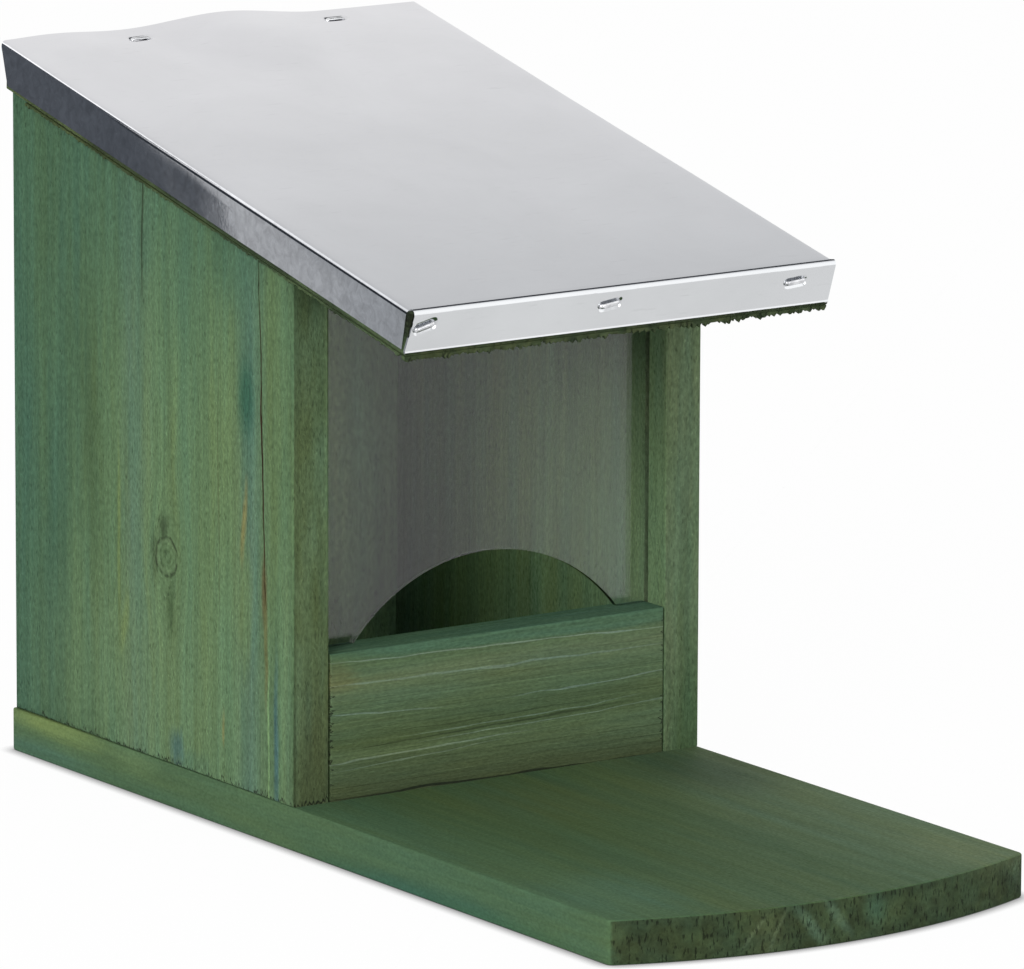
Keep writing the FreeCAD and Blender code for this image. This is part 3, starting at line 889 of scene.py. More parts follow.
@dataclass
class HopperBox:
    """The two side panels, the back panel, the front board and the clear pane."""

    left: StainedSoftwood = StainedSoftwood(
        "green stained spruce, left panel", Grain.UPRIGHT, Grain.FORWARD,
        ((136.0, Stain.SPRUCE), (98.0, Stain.FOREST), (87.0, Stain.LEAF), (80.0, Stain.MIST),
         (66.0, Stain.MOSS), (46.0, Stain.LEAF), (34.0, Stain.MOSS), (25.0, Stain.MIST),
         (16.0, Stain.LEAF), (5.6, Stain.LEAF)),
        Grain.FORWARD, EDGE_TONES, END_TONES, offset=0.3,
        marks=(
            StainMark((-60, 75, 172), (20, 130, 78), Stain.SPRUCE, 0.6),
            StainMark((-60, 32, 146), (6, 18, 22), Stain.SPRUCE, 0.7),
            StainMark((-60, 78, 30), (20, 66, 40), Stain.SAGE, 0.45),
            StainMark((-60, 131, 90), (6, 10, 120), Stain.SPRUCE, 0.5),
            StainMark((-60, 26, 110), (6, 7, 36), Stain.TEAL, 0.75),
            StainMark((-60, 27, 108), (6, 5.6, 13), Stain.LAGOON, 0.85),
            StainMark((-60, 30, 140), (6, 9, 22), Stain.TEAL, 0.6),
            StainMark((-60, 79, 92), (6, 5, 24), Stain.TEAL, 0.4),
            StainMark((-60, 70, 10.8), (6, 140, 0.45), Stain.SEAM, 0.9, crisp=2.0),
            StainMark((-60, 74, 141), (6, 0.45, 20), Stain.PITCH, 0.8, crisp=3.0),
            StainMark((-60, 71, 142), (6, 4, 20), Stain.TEAL, 0.5),
            StainMark((-60, 39.2, 84), (6, 0.4, 46), Stain.BOG, 0.5, crisp=2.0),
            StainMark((-60, 85.5, 66), (6, 1.1, 36), Stain.LIME, 0.6),
            StainMark((-60, 83, 42), (6, 2.4, 12), Stain.LIME, 0.5, 12.0),
            StainMark((-60, 104, 45), (6, 9, 60), Stain.MOSS, 0.4),
            StainMark((-60, 61, 50), (6, 3.0, 12), Stain.IVY, 0.8),
            StainMark((-60, 64.5, 69.5), (6, 4.0, 5), Stain.PINE, 0.8, 6.0),
            StainMark((-60, 68.5, 63), (6, 2.4, 8), Stain.PINE, 0.65, -6.0),
            StainMark((-60, 69, 58), (6, 1.6, 12), Stain.OLIVE, 0.5, -8.0),
            StainMark((-60, 58.5, 15), (6, 5, 7), Stain.SLATE, 0.7),
            StainMark((-60, 50, 13), (6, 9, 5), Stain.TEAL, 0.5),
            StainMark((-60, 13.4, 25), (6, 1.5, 30), Stain.SLATE, 0.8),
            StainMark((-60, 16.6, 26), (6, 0.6, 36), Stain.FRESH, 0.6),
            StainMark((-60, 9, 40), (6, 2.6, 60), Stain.SAGE, 0.5),
            StainMark((-60, 18.2, 62), (6, 1.8, 12), Stain.UMBER, 0.75),
            StainMark((-60, 17.6, 48), (6, 1.2, 22), Stain.DUN, 0.7),
            StainMark((-60, 27, 56), (6, 4.5, 26), Stain.LIME, 0.55),
            StainMark((-60, 27.5, 78), (6, 1.6, 14), Stain.STRAW, 0.65, 7.0),
            StainMark((-60, 37, 24.5), (6, 1.1, 6), Stain.STRAW, 0.6),
            StainMark((-60, 34, 28), (6, 5, 18), Stain.MOSS, 0.4),
            StainMark((-60, 19.4, 101), (6, 0.3, 46), Stain.BARK, 1.0, -2.3, crisp=5.0),
            # painted light: the inner face is painted paler, in place of light that the closed
            # interior lacks
            StainMark((-46, 70, 95), (9, 90, 110), Stain.FRESH, 0.9),
            StainMark((-54, 5.6, 14), (9, 8, 40), Stain.BOG, 0.8),
            # painted shadow: the front edge darkens at its top, under the lid's overhang
            StainMark((-54, 5.6, 140), (9, 8, 14), Stain.PINE, 0.8),
            StainMark((-54, 5.6, 10.8), (9, 6, 0.5), Stain.SEAM, 0.9, crisp=2.0),
        ),
        knots=(Knot((-60, 63, 62.5), 5.4),))
    right: StainedSoftwood = StainedSoftwood(
        "green stained spruce, right panel", Grain.UPRIGHT, Grain.FORWARD,
        ((5.6, Stain.SAGE), (40.0, Stain.LEAF), (70.0, Stain.MOSS), (100.0, Stain.FERN),
         (120.0, Stain.MIST), (136.0, Stain.FOREST)),
        Grain.FORWARD, (Stain.HEATH, Stain.LICHEN), END_TONES, offset=1.7,
        marks=(
            StainMark((57, 5.6, 12), (9, 8, 44), Stain.IVY, 0.9),
            StainMark((54, 5.6, 108), (8, 8, 60), Stain.LICHEN, 0.8),
            StainMark((60, 90, 50), (6, 12, 60), Stain.TEAL, 0.5),
            StainMark((60, 40, 120), (6, 9, 50), Stain.LIME, 0.5),
            # painted light: the inner face is painted paler, in place of light that the closed
            # interior lacks
            StainMark((46, 80, 95), (9, 82, 110), Stain.FRESH, 0.95),
        ),
        knots=(Knot((60, 48, 96), 3.6),))
    back: StainedSoftwood = StainedSoftwood(
        "green stained spruce, back panel", Grain.UPRIGHT, Grain.ACROSS,
        ((-50.0, Stain.FOREST), (-8.0, Stain.MOSS), (16.0, Stain.FERN), (34.0, Stain.MOSS),
         (50.0, Stain.FOREST)),
        Grain.ACROSS, EDGE_TONES, END_TONES, offset=2.9,
        marks=(
            StainMark((-20, 136, 60), (7, 6, 60), Stain.TEAL, 0.6),
            StainMark((22, 136, 120), (5, 6, 40), Stain.LIME, 0.5),
            # painted light: the inner face is painted paler, in place of light that the closed
            # interior lacks
            StainMark((0, 121, 90), (90, 11, 130), Stain.FRESH, 0.95),
        ),
        knots=(Knot((24, 134, 66), 4.2),))
    front: StainedSoftwood = StainedSoftwood(
        "green stained spruce, front board", Grain.ACROSS, Grain.UPRIGHT,
        ((47.4, Stain.FOREST), (40.0, Stain.LICHEN), (33.0, Stain.HEATH), (25.0, Stain.OLIVE),
         (21.0, Stain.HEATH), (10.8, Stain.BOG)),
        Grain.UPRIGHT, (Stain.SPRUCE, Stain.TEAL), END_TONES, offset=4.1,
        figure=(
            Figure(0.8, 60.0, (0.3, 0.7), (0.9, 1.1), 3.0),
            Figure(0.5, 9.0, (0.3, 0.7), (0.9, 1.1)),
            Figure(0.5, 1.2, (0.3, 0.7), (0.84, 1.16)),
            Figure(0.45, 110.0, (0.58, 0.66), (1.0, 0.84)),
            Figure(0.4, 60.0, (0.64, 0.7), (1.0, 1.25)),
        ),
        marks=(
            StainMark((16, 5.6, 47.4), (80, 6, 4.4), Stain.TEAL, 0.8, crisp=2.5),
            StainMark((0, 5.6, 43.8), (70, 6, 0.26), Stain.CHALK, 0.7, 1.37, Grain.FORWARD, 2.0),
            StainMark((-6, 5.6, 38.9), (70, 6, 0.34), Stain.CHALK, 0.55, 0.7, Grain.FORWARD, 2.0),
            StainMark((30, 5.6, 31.2), (32, 6, 0.28), Stain.CHALK, 0.6, -1.6, Grain.FORWARD, 2.0),
            StainMark((-34, 5.6, 31.2), (22, 6, 0.24), Stain.CHALK, 0.5, 2.6, Grain.FORWARD, 2.0),
            StainMark((-22, 5.6, 20.6), (42, 6, 0.26), Stain.CHALK, 0.55, -1.4, Grain.FORWARD, 2.0),
            StainMark((-24, 5.6, 19.0), (32, 6, 0.2), Stain.CHALK, 0.4, -2.2, Grain.FORWARD, 2.0),
            StainMark((14, 5.6, 23.4), (50, 6, 0.22), Stain.CHALK, 0.45, -1.6, Grain.FORWARD, 2.0),
            StainMark((-4, 5.6, 24.0), (56, 6, 0.34), Stain.PITCH, 0.65, -1.8, Grain.FORWARD, 1.6),
            StainMark((6, 5.6, 25.2), (44, 6, 0.22), Stain.CHALK, 0.4, -1.4, Grain.FORWARD, 2.0),
            StainMark((-8, 5.6, 26.4), (48, 6, 0.24), Stain.PITCH, 0.55, -1.0, Grain.FORWARD, 1.6),
            StainMark((-49.6, 5.6, 29), (0.45, 6, 24), Stain.SEAM, 0.9, crisp=2.0),
            StainMark((49.6, 5.6, 29), (0.45, 6, 24), Stain.SEAM, 0.9, crisp=2.0),
            StainMark((0, 5.6, 10.8), (70, 6, 0.5), Stain.SEAM, 0.85, crisp=2.0),
            StainMark((-47, 5.6, 41), (8, 6, 5), Stain.DUN, 0.5),
            StainMark((-20, 5.6, 36), (30, 6, 5), Stain.MIST, 0.35),
        ))
    pane: ClearAcrylic = ClearAcrylic()
    crack_route: tuple[tuple[float, float], ...] = (
        (21.4, 148.0), (21.1, 142.0), (20.9, 134.0), (20.2, 124.0), (19.9, 116.0),
        (19.5, 108.0), (19.5, 98.0), (19.1, 90.0), (19.2, 82.0), (18.7, 74.0), (18.5, 66.0),
        (17.9, 60.0), (17.6, 57.0))
    crack_depth: float = 1.6
    crack_width: float = 0.4
    rear_inset: float = 0.8

    def crack_wedge(self) -> bpy.types.Object:
        """Models the split in the left panel's face as a thin wandering wedge."""
        first = self.crack_route[0]
        bpy.ops.object.select_all(action="DESELECT")
        bpy.ops.mesh.primitive_circle_add(vertices=4, radius=MILLIMETRE, fill_type="NGON",
                                          location=metres(-60.0, *first))
        wedge = bpy.context.active_object
        with editing(wedge):
            bpy.ops.mesh.select_all(action="SELECT")
            bpy.ops.transform.resize(value=(self.crack_depth, self.crack_width / 2.0, 1.0))
            steps = list(zip(self.crack_route, self.crack_route[1:]))
            for number, (here, there) in enumerate(steps):
                thin = 0.25 if number == len(steps) - 1 else 0.97
                extrude(metres(0.0, there[0] - here[0], there[1] - here[1]), (thin, thin, 1.0))
            bpy.ops.mesh.select_all(action="SELECT")
            bpy.ops.mesh.normals_make_consistent(inside=False)
        applied(wedge)
        return wedge

    def cracked(self, node: bpy.types.Object) -> bpy.types.Object:
        """Cuts the drying crack into the left panel, whose rear stands a little in.

        Args:
            node: The construction's panel.

        Returns:
            The panel with its crack.
        """
        panel = workpiece(node, "cracked_left_panel")
        with editing(panel):
            pick(Pick.CORNERS, lambda c: c.y > 134.0)
            bpy.ops.transform.translate(value=metres(0.0, -self.rear_inset, 0.0))
            pick(Pick.CORNERS, lambda c: c.y > 133.0 and c.x < -58.0)
            bpy.ops.transform.translate(value=metres(self.rear_inset, 0.0, 0.0))
        wedge = self.crack_wedge()
        finished(panel, "BOOLEAN", operation="DIFFERENCE", solver="EXACT", object=wedge)
        bpy.data.objects.remove(wedge, do_unlink=True)
        kept(panel, Body.BOX, node.name)
        return panel

    def build(self, nodes: dict[str, bpy.types.Object]) -> None:
        """Cracks, cuts and dresses the box.

        Args:
            nodes: The construction's pieces by name.
        """
        dress(self.cracked(nodes["side_panel_left"]), self.left.build())
        dress(nodes["side_panel_right"], self.right.build())
        dress(nodes["back_panel"], self.back.build())
        dress(nodes["front_board"], self.front.build())
        dress(nodes["viewing_pane"], self.pane.build())
        nodes["viewing_pane"].visible_shadow = False


@dataclass
class LandingBoard:
    """The long base plate; the screws that come up through it are dressed with the hardware."""

    wood: StainedSoftwood = StainedSoftwood(
        "green stained spruce, landing board", Grain.FORWARD, Grain.ACROSS,
        ((-60.0, Stain.FOREST), (-30.0, Stain.IVY), (14.0, Stain.IVY), (55.0, Stain.HEATH)),
        Grain.ACROSS, (Stain.FOREST, Stain.FOREST), (Stain.PITCH, Stain.PINE), offset=5.3,
        figure=(
            Figure(3.0, 90.0, (0.3, 0.7), (0.93, 1.07)),
            Figure(0.9, 14.0, (0.3, 0.7), (0.94, 1.06)),
            Figure(0.6, 1.1, (0.3, 0.7), (0.86, 1.14)),
            Figure(0.7, 120.0, (0.6, 0.68), (1.0, 0.92)),
        ),
        marks=(
            StainMark((-60, 116, 9.5), (5, 36, 4.8), Stain.LIME, 0.85),
            StainMark((-60, 78, 8), (5, 16, 4), Stain.MOSS, 0.6),
            StainMark((-60, 120, 1.5), (5, 40, 4.5), Stain.TEAL, 0.7),
            StainMark((-60, 55, 0.5), (5, 60, 4.2), Stain.SPRUCE, 0.6),
            StainMark((-60, 20, 9.5), (5, 26, 3.6), Stain.FERN, 0.55),
            StainMark((-60, -60, 0.5), (5, 80, 4.6), Stain.LAGOON, 0.75),
            StainMark((-60, -118, 2), (5, 16, 6), Stain.SPRUCE, 0.5),
            StainMark((-45, -108, 10.8), (22, 30, 6), Stain.TEAL, 0.5),
            StainMark((48, -118, 10.8), (18, 26, 6), Stain.LICHEN, 0.5),
            StainMark((0, -20, 10.8), (40, 36, 6), Stain.OLIVE, 0.45),
            # painted shadow: the right panel's shade on the landing board's top
            StainMark((46, -14, 10.8), (26, 44, 6), Stain.PINE, 0.75),
            StainMark((-60, -46, 5.4), (3, 96, 9), Stain.SPRUCE, 0.6),
            StainMark((-52, -134, 5.0), (12, 9, 9), Stain.PITCH, 0.7),
            StainMark((-22, -138, 4.0), (9, 6, 9), Stain.BOG, 0.6, 20.0, Grain.FORWARD),
            StainMark((38, -137, 5.0), (14, 7, 9), Stain.PINE, 0.4),
            StainMark((-10.5, -139.5, 5.0), (2.4, 6, 10), Stain.MIST, 0.55, -42.0, Grain.FORWARD),
            StainMark((-3.5, -140.3, 6.4), (2.0, 6, 9), Stain.MIST, 0.5, -38.0, Grain.FORWARD),
            StainMark((8.0, -140.3, 6.6), (5.0, 6, 6), Stain.SPRUCE, 0.4, -38.0, Grain.FORWARD),
            StainMark((-26, -138, 5.4), (0.8, 6, 8), Stain.LICHEN, 0.45, 38.0, Grain.FORWARD),
            StainMark((-20, -138.7, 5.4), (0.8, 6, 8), Stain.LICHEN, 0.45, 30.0, Grain.FORWARD),
            StainMark((56, -126, 8.0), (4, 6, 5), Stain.MIST, 0.5),
        ))
    rear_corner: tuple[float, float] = (57.9, 134.0)

    def squared(self, node: bpy.types.Object) -> bpy.types.Object:
        """Tightens the base plate's two rear corners, which are sawn nearly square.

        Args:
            node: The construction's base plate.

        Returns:
            The base plate with tight rear corners.
        """
        board = workpiece(node, "landing_board")
        across, back = self.rear_corner
        with editing(board):
            for side in (-1.0, 1.0):
                pick(Pick.CORNERS, lambda c, side=side: c.x * side > across and c.y > back)
                bpy.ops.transform.resize(value=(0.4, 1.0, 1.0),
                                         center_override=metres(side * 60.0, 0.0, 0.0))
        kept(board, Body.BOX, node.name)
        return board

    def build(self, nodes: dict[str, bpy.types.Object]) -> None:
        """Squares and dresses the landing board.

        Args:
            nodes: The construction's pieces by name.
        """
        dress(self.squared(nodes["base_plate"]), self.wood.build())


@dataclass
class Staple:
    """A flattened wire staple, modelled with its crown along X and its legs down.

    The crown's underside lies at z = 0. Lengths are millimetres.
    """

    crown: float = 6.0
    wire: float = 0.95
    leg: float = 5.2
    corner: float = 0.75
    tip: float = 0.9
    flattening: float = 0.72

    def build(self) -> bpy.types.Object:
        """Bends the wire by extruding and spinning a ring.

        Returns:
            The staple.
        """
        side = (self.crown - self.wire) / 2.0
        middle = self.wire / 2.0
        low = middle - self.corner
        bpy.ops.object.select_all(action="DESELECT")
        bpy.ops.mesh.primitive_circle_add(
            vertices=12, radius=middle * MILLIMETRE, fill_type="NOTHING",
            location=metres(-side, 0.0, self.tip - self.leg))
        staple = bpy.context.active_object
        applied(staple)
        rise = low - self.tip + self.leg
        with editing(staple):
            bpy.ops.mesh.select_all(action="SELECT")
            extrude(metres(0.0, 0.0, rise))
            bpy.ops.mesh.spin(steps=5, angle=math.radians(90.0), axis=(0.0, -1.0, 0.0),
                              center=metres(self.corner - side, 0.0, low))
            for _ in range(4):
                extrude(metres((side - self.corner) / 2.0, 0.0, 0.0))
            bpy.ops.mesh.spin(steps=5, angle=math.radians(90.0), axis=(0.0, -1.0, 0.0),
                              center=metres(side - self.corner, 0.0, low))
            extrude(metres(0.0, 0.0, -rise))
            extrude(metres(0.0, 0.0, -self.tip), (0.3, 0.3, 1.0))
            bpy.ops.mesh.edge_face_add()
            pick(Pick.EDGES, lambda c: c.z < self.tip - self.leg + 0.01 and c.x < 0.0)
            extrude(metres(0.0, 0.0, -self.tip), (0.3, 0.3, 1.0))
            bpy.ops.mesh.edge_face_add()
            pick(Pick.CORNERS, lambda c: c.z > low + self.corner * 0.4)
            bpy.ops.transform.resize(value=(1.0, 1.25, self.flattening))
            bpy.ops.mesh.select_all(action="SELECT")
            bpy.ops.mesh.normals_make_consistent(inside=False)
        return staple


@dataclass
class SheetLid:
    """The lid board with its folded sheet cover and the staples that hold it.

    The sheet and the staples are modelled flat, in the lid's own frame: the board's rear
    lower edge is the X axis, the board runs towards -Y and its top is up.
    """

    wood: StainedSoftwood = StainedSoftwood(
        "green stained sawn spruce, lid board", Grain.FORWARD, Grain.ACROSS,
        ((-61.4, Stain.OLIVE), (61.4, Stain.OLIVE)),
        Grain.ACROSS, (Stain.OLIVE, Stain.PITCH), (Stain.PITCH, Stain.BOG), offset=6.1,
        pitch=12.25, marks=(
            # painted shadow: the lid board darkens at its front corners, seen through the sheet's
            # corner gaps
            StainMark((-61.4, -46, 139), (3, 4, 7), Stain.SEAM, 0.95),
            StainMark((61.4, -46, 139), (3, 4, 7), Stain.SEAM, 0.95),
        ))
    sheet: GalvanisedSheet = GalvanisedSheet()
    wire: ZincPlating = ZincPlating("galvanised staple wire", "#dcdddf", "#b4b5b8", 0.2)
    staple: Staple = field(default_factory=Staple)
    pitch: float = 12.25
    hinge_line: tuple[float, float] = (136.1, 169.2)
    half_width: float = 62.0
    top: float = 11.8
    front: float = 185.6
    rear: float = 1.2
    fold_depth: float = 10.1
    bend: float = 1.5
    bend_steps: int = 6
    grid: tuple[int, int] = (62, 93)
    flange_rows: int = 4
    rear_cut: float = 5.4
    rear_skew: float = 1.2
    end_slant: float = 1.0
    burr: float = 0.3
    gauge: float = 0.6
    half_board: float = 61.3
    front_fringe: float = 1.3
    side_fringe: float = 0.7
    side_length: float = 172.0
    fibre_width: float = 0.45
    fibre_thickness: float = 1.4
    worn_from: float = -54.0
    worn_rear: float = 135.0
    worn_depth: float = 1.7
    front_staples: tuple[tuple[float, float], ...] = ((-57.0, 15.0), (-4.0, 8.0), (50.5, 5.0))
    front_staple_height: float = 7.4
    rear_staples: tuple[float, ...] = (-25.5, 32.8)
    rear_staple_setback: float = 5.0
    dent_depth: float = 0.5
    dent_steps: int = 11
    dent_reach: float = 4.4
    dent_lip: float = 1.5
    dent_narrowing: float = 0.85
    dent_blend: float = 2.6
    hole_depth: float = 0.08
    hole_reach: float = 0.8
    crown_lift: float = 0.1
    buckle: tuple[float, float, float] = (1.4, 2.5, 30.0)
    ripple: tuple[float, float, float] = (-46.0, 0.5, 15.0)
    unevenness: float = 0.35
    unevenness_size: float = 55.0

    def on_lid(self) -> Matrix:
        """The lid frame's closed place on the box."""
        turn = Matrix.Rotation(math.radians(self.pitch), 4, "X")
        return Matrix.Translation(metres(0.0, *self.hinge_line)) @ turn

    def flange(self, edge: Callable[[Vector], bool], axis: tuple[float, float, float],
               bend_line: Vector, spread: float, burr: float = 0.0) -> None:
        """Folds a border of the flat sheet down.

        Args:
            edge: Says which edges are on the border.
            axis: The axis that the bend turns about.
            bend_line: A point on the bend's centre line, metres.
            spread: How much wider the flange ends than it starts, as a share.
            burr: How far the cut edge turns forward, millimetres.
        """
        pick(Pick.EDGES, edge)
        bpy.ops.mesh.spin(steps=self.bend_steps, angle=math.radians(90.0), axis=axis,
                          center=bend_line)
        row = (self.fold_depth - self.bend) / self.flange_rows
        widen = (1.0 + spread) ** (1.0 / self.flange_rows)
        for _ in range(self.flange_rows):
            extrude(metres(0.0, 0.0, -row), (widen, 1.0, 1.0))
        if burr:
            extrude(metres(0.0, -burr, -burr))

    def folded(self) -> bpy.types.Object:
        """Makes the flat top as a grid and folds its two sides and its front."""
        half = self.half_width - self.bend
        front = self.bend - self.front
        level = self.top - self.bend
        bpy.ops.object.select_all(action="DESELECT")
        bpy.ops.mesh.primitive_grid_add(
            x_subdivisions=self.grid[0], y_subdivisions=self.grid[1], size=1.0,
            location=metres(0.0, (front + self.rear) / 2.0, self.top))
        sheet = bpy.context.active_object
        sheet.scale = (2.0 * half * MILLIMETRE, (self.rear - front) * MILLIMETRE, 1.0)
        applied(sheet)
        with editing(sheet):
            self.flange(lambda c: abs(c.x + half) < 0.01, (0.0, 1.0, 0.0),
                        metres(-half, 0.0, level), 0.0)
            self.flange(lambda c: abs(c.x - half) < 0.01, (0.0, -1.0, 0.0),
                        metres(half, 0.0, level), 0.0)
            self.flange(lambda c: abs(c.y - front) < 0.01 and abs(c.x) < half
                        and c.z > level + 1.0, (-1.0, 0.0, 0.0),
                        metres(0.0, front, level), self.bend / half, self.burr)
            pick(Pick.CORNERS, lambda c: c.x > half - 0.01 and c.y < front - 0.001)
            corner = metres(self.half_width, -self.front, self.top)
            bpy.ops.transform.resize(value=(0.0, 1.0, 1.0), center_override=corner)
            bpy.ops.transform.rotate(value=-math.atan2(self.end_slant, self.fold_depth),
                                     orient_axis="Y", center_override=corner)
            pick(Pick.FACES, lambda c: abs(c.x) > half + 0.02 and c.y > front)
            bpy.ops.mesh.bisect(
                plane_co=metres(0.0, self.rear, self.top), clear_outer=True,
                plane_no=Vector((0.0, self.fold_depth, -self.rear_cut)).normalized())
            bpy.ops.mesh.select_all(action="SELECT")
            bpy.ops.mesh.normals_make_consistent(inside=False)
        return sheet

    def pushed(self, test: Callable[[Vector], bool], move: Vector, reach: float) -> None:
        """Pushes the corners that pass a test, with a soft fall-off around them.

        Args:
            test: Says which corners are pushed fully, by their place in millimetres.
            move: The push, metres.
            reach: How far the push fades out, millimetres.
        """
        pick(Pick.CORNERS, test)
        bpy.ops.transform.translate(value=move, use_proportional_edit=True,
                                    proportional_edit_falloff="SMOOTH",
                                    proportional_size=reach * MILLIMETRE)

    def dented(self, place: Vector, along: Vector, inward: Vector) -> None:
        """Presses a staple's oval dent, with a deeper pit under each leg.

        Args:
            place: The dent's centre, millimetres.
            along: Direction of the staple's crown.
            inward: Direction that the dent is pressed in.
        """
        reach = self.staple.crown / 2.0 - 0.7

        def away(centre: Vector) -> float:
            """Distance from the crown's line as seen along the push, millimetres."""
            offset = centre - place
            offset -= inward * offset.dot(inward)
            run = max(-reach, min(reach, offset.dot(along)))
            return (offset - along * run).length

        pick(Pick.FACES, lambda c: away(c) < self.dent_reach and abs((c - place).dot(inward)) < 0.3)
        bpy.ops.mesh.subdivide(number_cuts=7)
        for step in range(self.dent_steps):
            lip = self.dent_lip - self.dent_narrowing * step / self.dent_steps
            pick(Pick.CORNERS, lambda c, lip=lip: away(c) < lip)
            bpy.ops.transform.translate(
                value=inward * (self.dent_depth / self.dent_steps * MILLIMETRE))
        pick(Pick.CORNERS, lambda c: away(c) < self.dent_blend)
        bpy.ops.mesh.vertices_smooth(factor=0.5, repeat=5)
        for side in (-1.0, 1.0):
            hole = place + along * side * (self.staple.crown / 2.0 - 0.4)
            self.pushed(lambda c, hole=hole: away(c) < self.hole_reach
                        and (c - hole).length < self.hole_reach,
                        inward * (self.hole_depth * MILLIMETRE), 0.3)

    def cover(self) -> bpy.types.Object:
        """Makes the galvanised cover, buckled at the rear and dented by its staples."""
        sheet = self.folded()
        with editing(sheet):
            self.pushed(lambda c: c.x < -56.0 and c.y > -4.5, metres(0.0, self.rear_skew, 0.0),
                        60.0)
            for x, rise, reach in (self.buckle, self.ripple):
                self.pushed(lambda c, x=x: abs(c.x - x) < 1.2 and c.y > -7.0,
                            metres(0.0, 0.0, rise), reach)
            for x in self.rear_staples:
                self.dented(Vector((x, -self.rear_staple_setback, self.top)),
                            Vector((1.0, 0.0, 0.0)), Vector((0.0, 0.0, -1.0)))
            for x, tilt in self.front_staples:
                lean = math.radians(tilt)
                self.dented(Vector((x, -self.front, self.front_staple_height)),
                            Vector((math.cos(lean), 0.0, math.sin(lean))),
                            Vector((0.0, 1.0, 0.0)))
        cloud = bpy.data.textures.new("sheet unevenness", "CLOUDS")
        cloud.noise_scale = self.unevenness_size * MILLIMETRE
        finished(sheet, "DISPLACE", texture=cloud, strength=self.unevenness * MILLIMETRE,
                 mid_level=0.5, texture_coords="LOCAL")
        finished(sheet, "SOLIDIFY", thickness=self.gauge * MILLIMETRE, offset=-1.0)
        bpy.ops.object.shade_smooth_by_angle(angle=math.radians(32.0))
        placed(sheet, self.on_lid())
        return joined("folded_roof_sheet", [sheet])

    def staples(self) -> bpy.types.Object:
        """Sets the five staples in their dents and joins them to one piece."""
        pattern = self.staple.build()
        sunk = self.dent_depth - self.crown_lift
        places = [Matrix.Translation(metres(x, -self.rear_staple_setback, self.top - sunk))
                  for x in self.rear_staples]
        for x, tilt in self.front_staples:
            forward = Matrix.Rotation(math.radians(90.0), 4, "X")
            lean = Matrix.Rotation(math.radians(tilt), 4, "Z")
            seat = metres(x, sunk - self.front, self.front_staple_height)
            places.append(Matrix.Translation(seat) @ forward @ lean)
        copies = []
        for place in places:
            copy = bpy.data.objects.new("staple", pattern.data.copy())
            bpy.context.scene.collection.objects.link(copy)
            placed(copy, self.on_lid() @ place)
            copies.append(copy)
        bpy.data.objects.remove(pattern, do_unlink=True)
        piece = joined("wire_staples", copies)
        bpy.ops.object.shade_smooth_by_angle(angle=math.radians(40.0))
        return piece

    def torn_edge(self, along: bool) -> bpy.types.Object:
        """Models the fibres that hang torn from a sawn lower edge of the lid board.

        Args:
            along: True for the left edge, which runs with the slope.

        Returns:
            The ragged strip.
        """
        chance = random.Random(7 if along else 3)
        width, depth = (2.0 * self.half_board, self.front_fringe) if not along else (
            self.side_length, self.side_fringe)
        bpy.ops.object.select_all(action="DESELECT")
        bpy.ops.mesh.primitive_grid_add(
            x_subdivisions=int(width / self.fibre_width), y_subdivisions=1, size=1.0,
            rotation=(math.radians(90.0), 0.0, 0.0))
        strip = bpy.context.active_object
        strip.scale = (width * MILLIMETRE, depth * MILLIMETRE, 1.0)
        applied(strip)
        with editing(strip):
            for share, rise in ((0.5, 0.3), (0.3, 0.35), (0.12, -0.4)):
                pick(Pick.CORNERS, lambda c, share=share: c.z < 0.0 and chance.random() < share)
                bpy.ops.transform.translate(value=metres(0.0, 0.0, rise * depth))
        finished(strip, "SOLIDIFY", thickness=self.fibre_thickness * MILLIMETRE, offset=0.0)
        if along:
            turn = Matrix.Rotation(math.radians(90.0), 4, "Z")
            place = Matrix.Translation(metres(0.75 - self.half_board,
                                              -self.front + width / 2.0 + 3.0, -depth / 2.0))
            placed(strip, self.on_lid() @ place @ turn)
        else:
            placed(strip, self.on_lid() @ Matrix.Translation(
                metres(0.0, 1.4 - self.front, 0.02 - depth / 2.0)))
        return strip

    def rough_board(self, node: bpy.types.Object) -> bpy.types.Object:
        """Hangs torn fibres from the lid board's lower edges.

        Args:
            node: The construction's lid board.

        Returns:
            The board with its ragged edges.
        """
        board = workpiece(node, "rough_lid_board")
        with editing(board):
            bpy.ops.mesh.select_all(action="SELECT")
            bpy.ops.mesh.bisect(plane_co=metres(self.worn_from, 0.0, 0.0),
                                plane_no=(1.0, 0.0, 0.0))
            pick(Pick.CORNERS, lambda c: c.x < self.worn_from - 1.0 and c.y > self.worn_rear)
            bpy.ops.transform.translate(value=metres(0.0, -self.worn_depth, 0.0))
        piece = joined("rough_lid_board", [board, self.torn_edge(False), self.torn_edge(True)])
        kept(piece, Body.LID, node.name)
        return piece

    def build(self, nodes: dict[str, bpy.types.Object]) -> None:
        """Models and dresses the lid.

        Args:
            nodes: The construction's pieces by name.
        """
        dress(self.rough_board(nodes["lid_board"]), self.wood.build())
        cover = self.cover()
        kept(cover, Body.LID, "roof_sheet")
        dress(cover, self.sheet.build())
        staples = self.staples()
        kept(staples, Body.LID, "sheet_staples")
        dress(staples, self.wire.build())


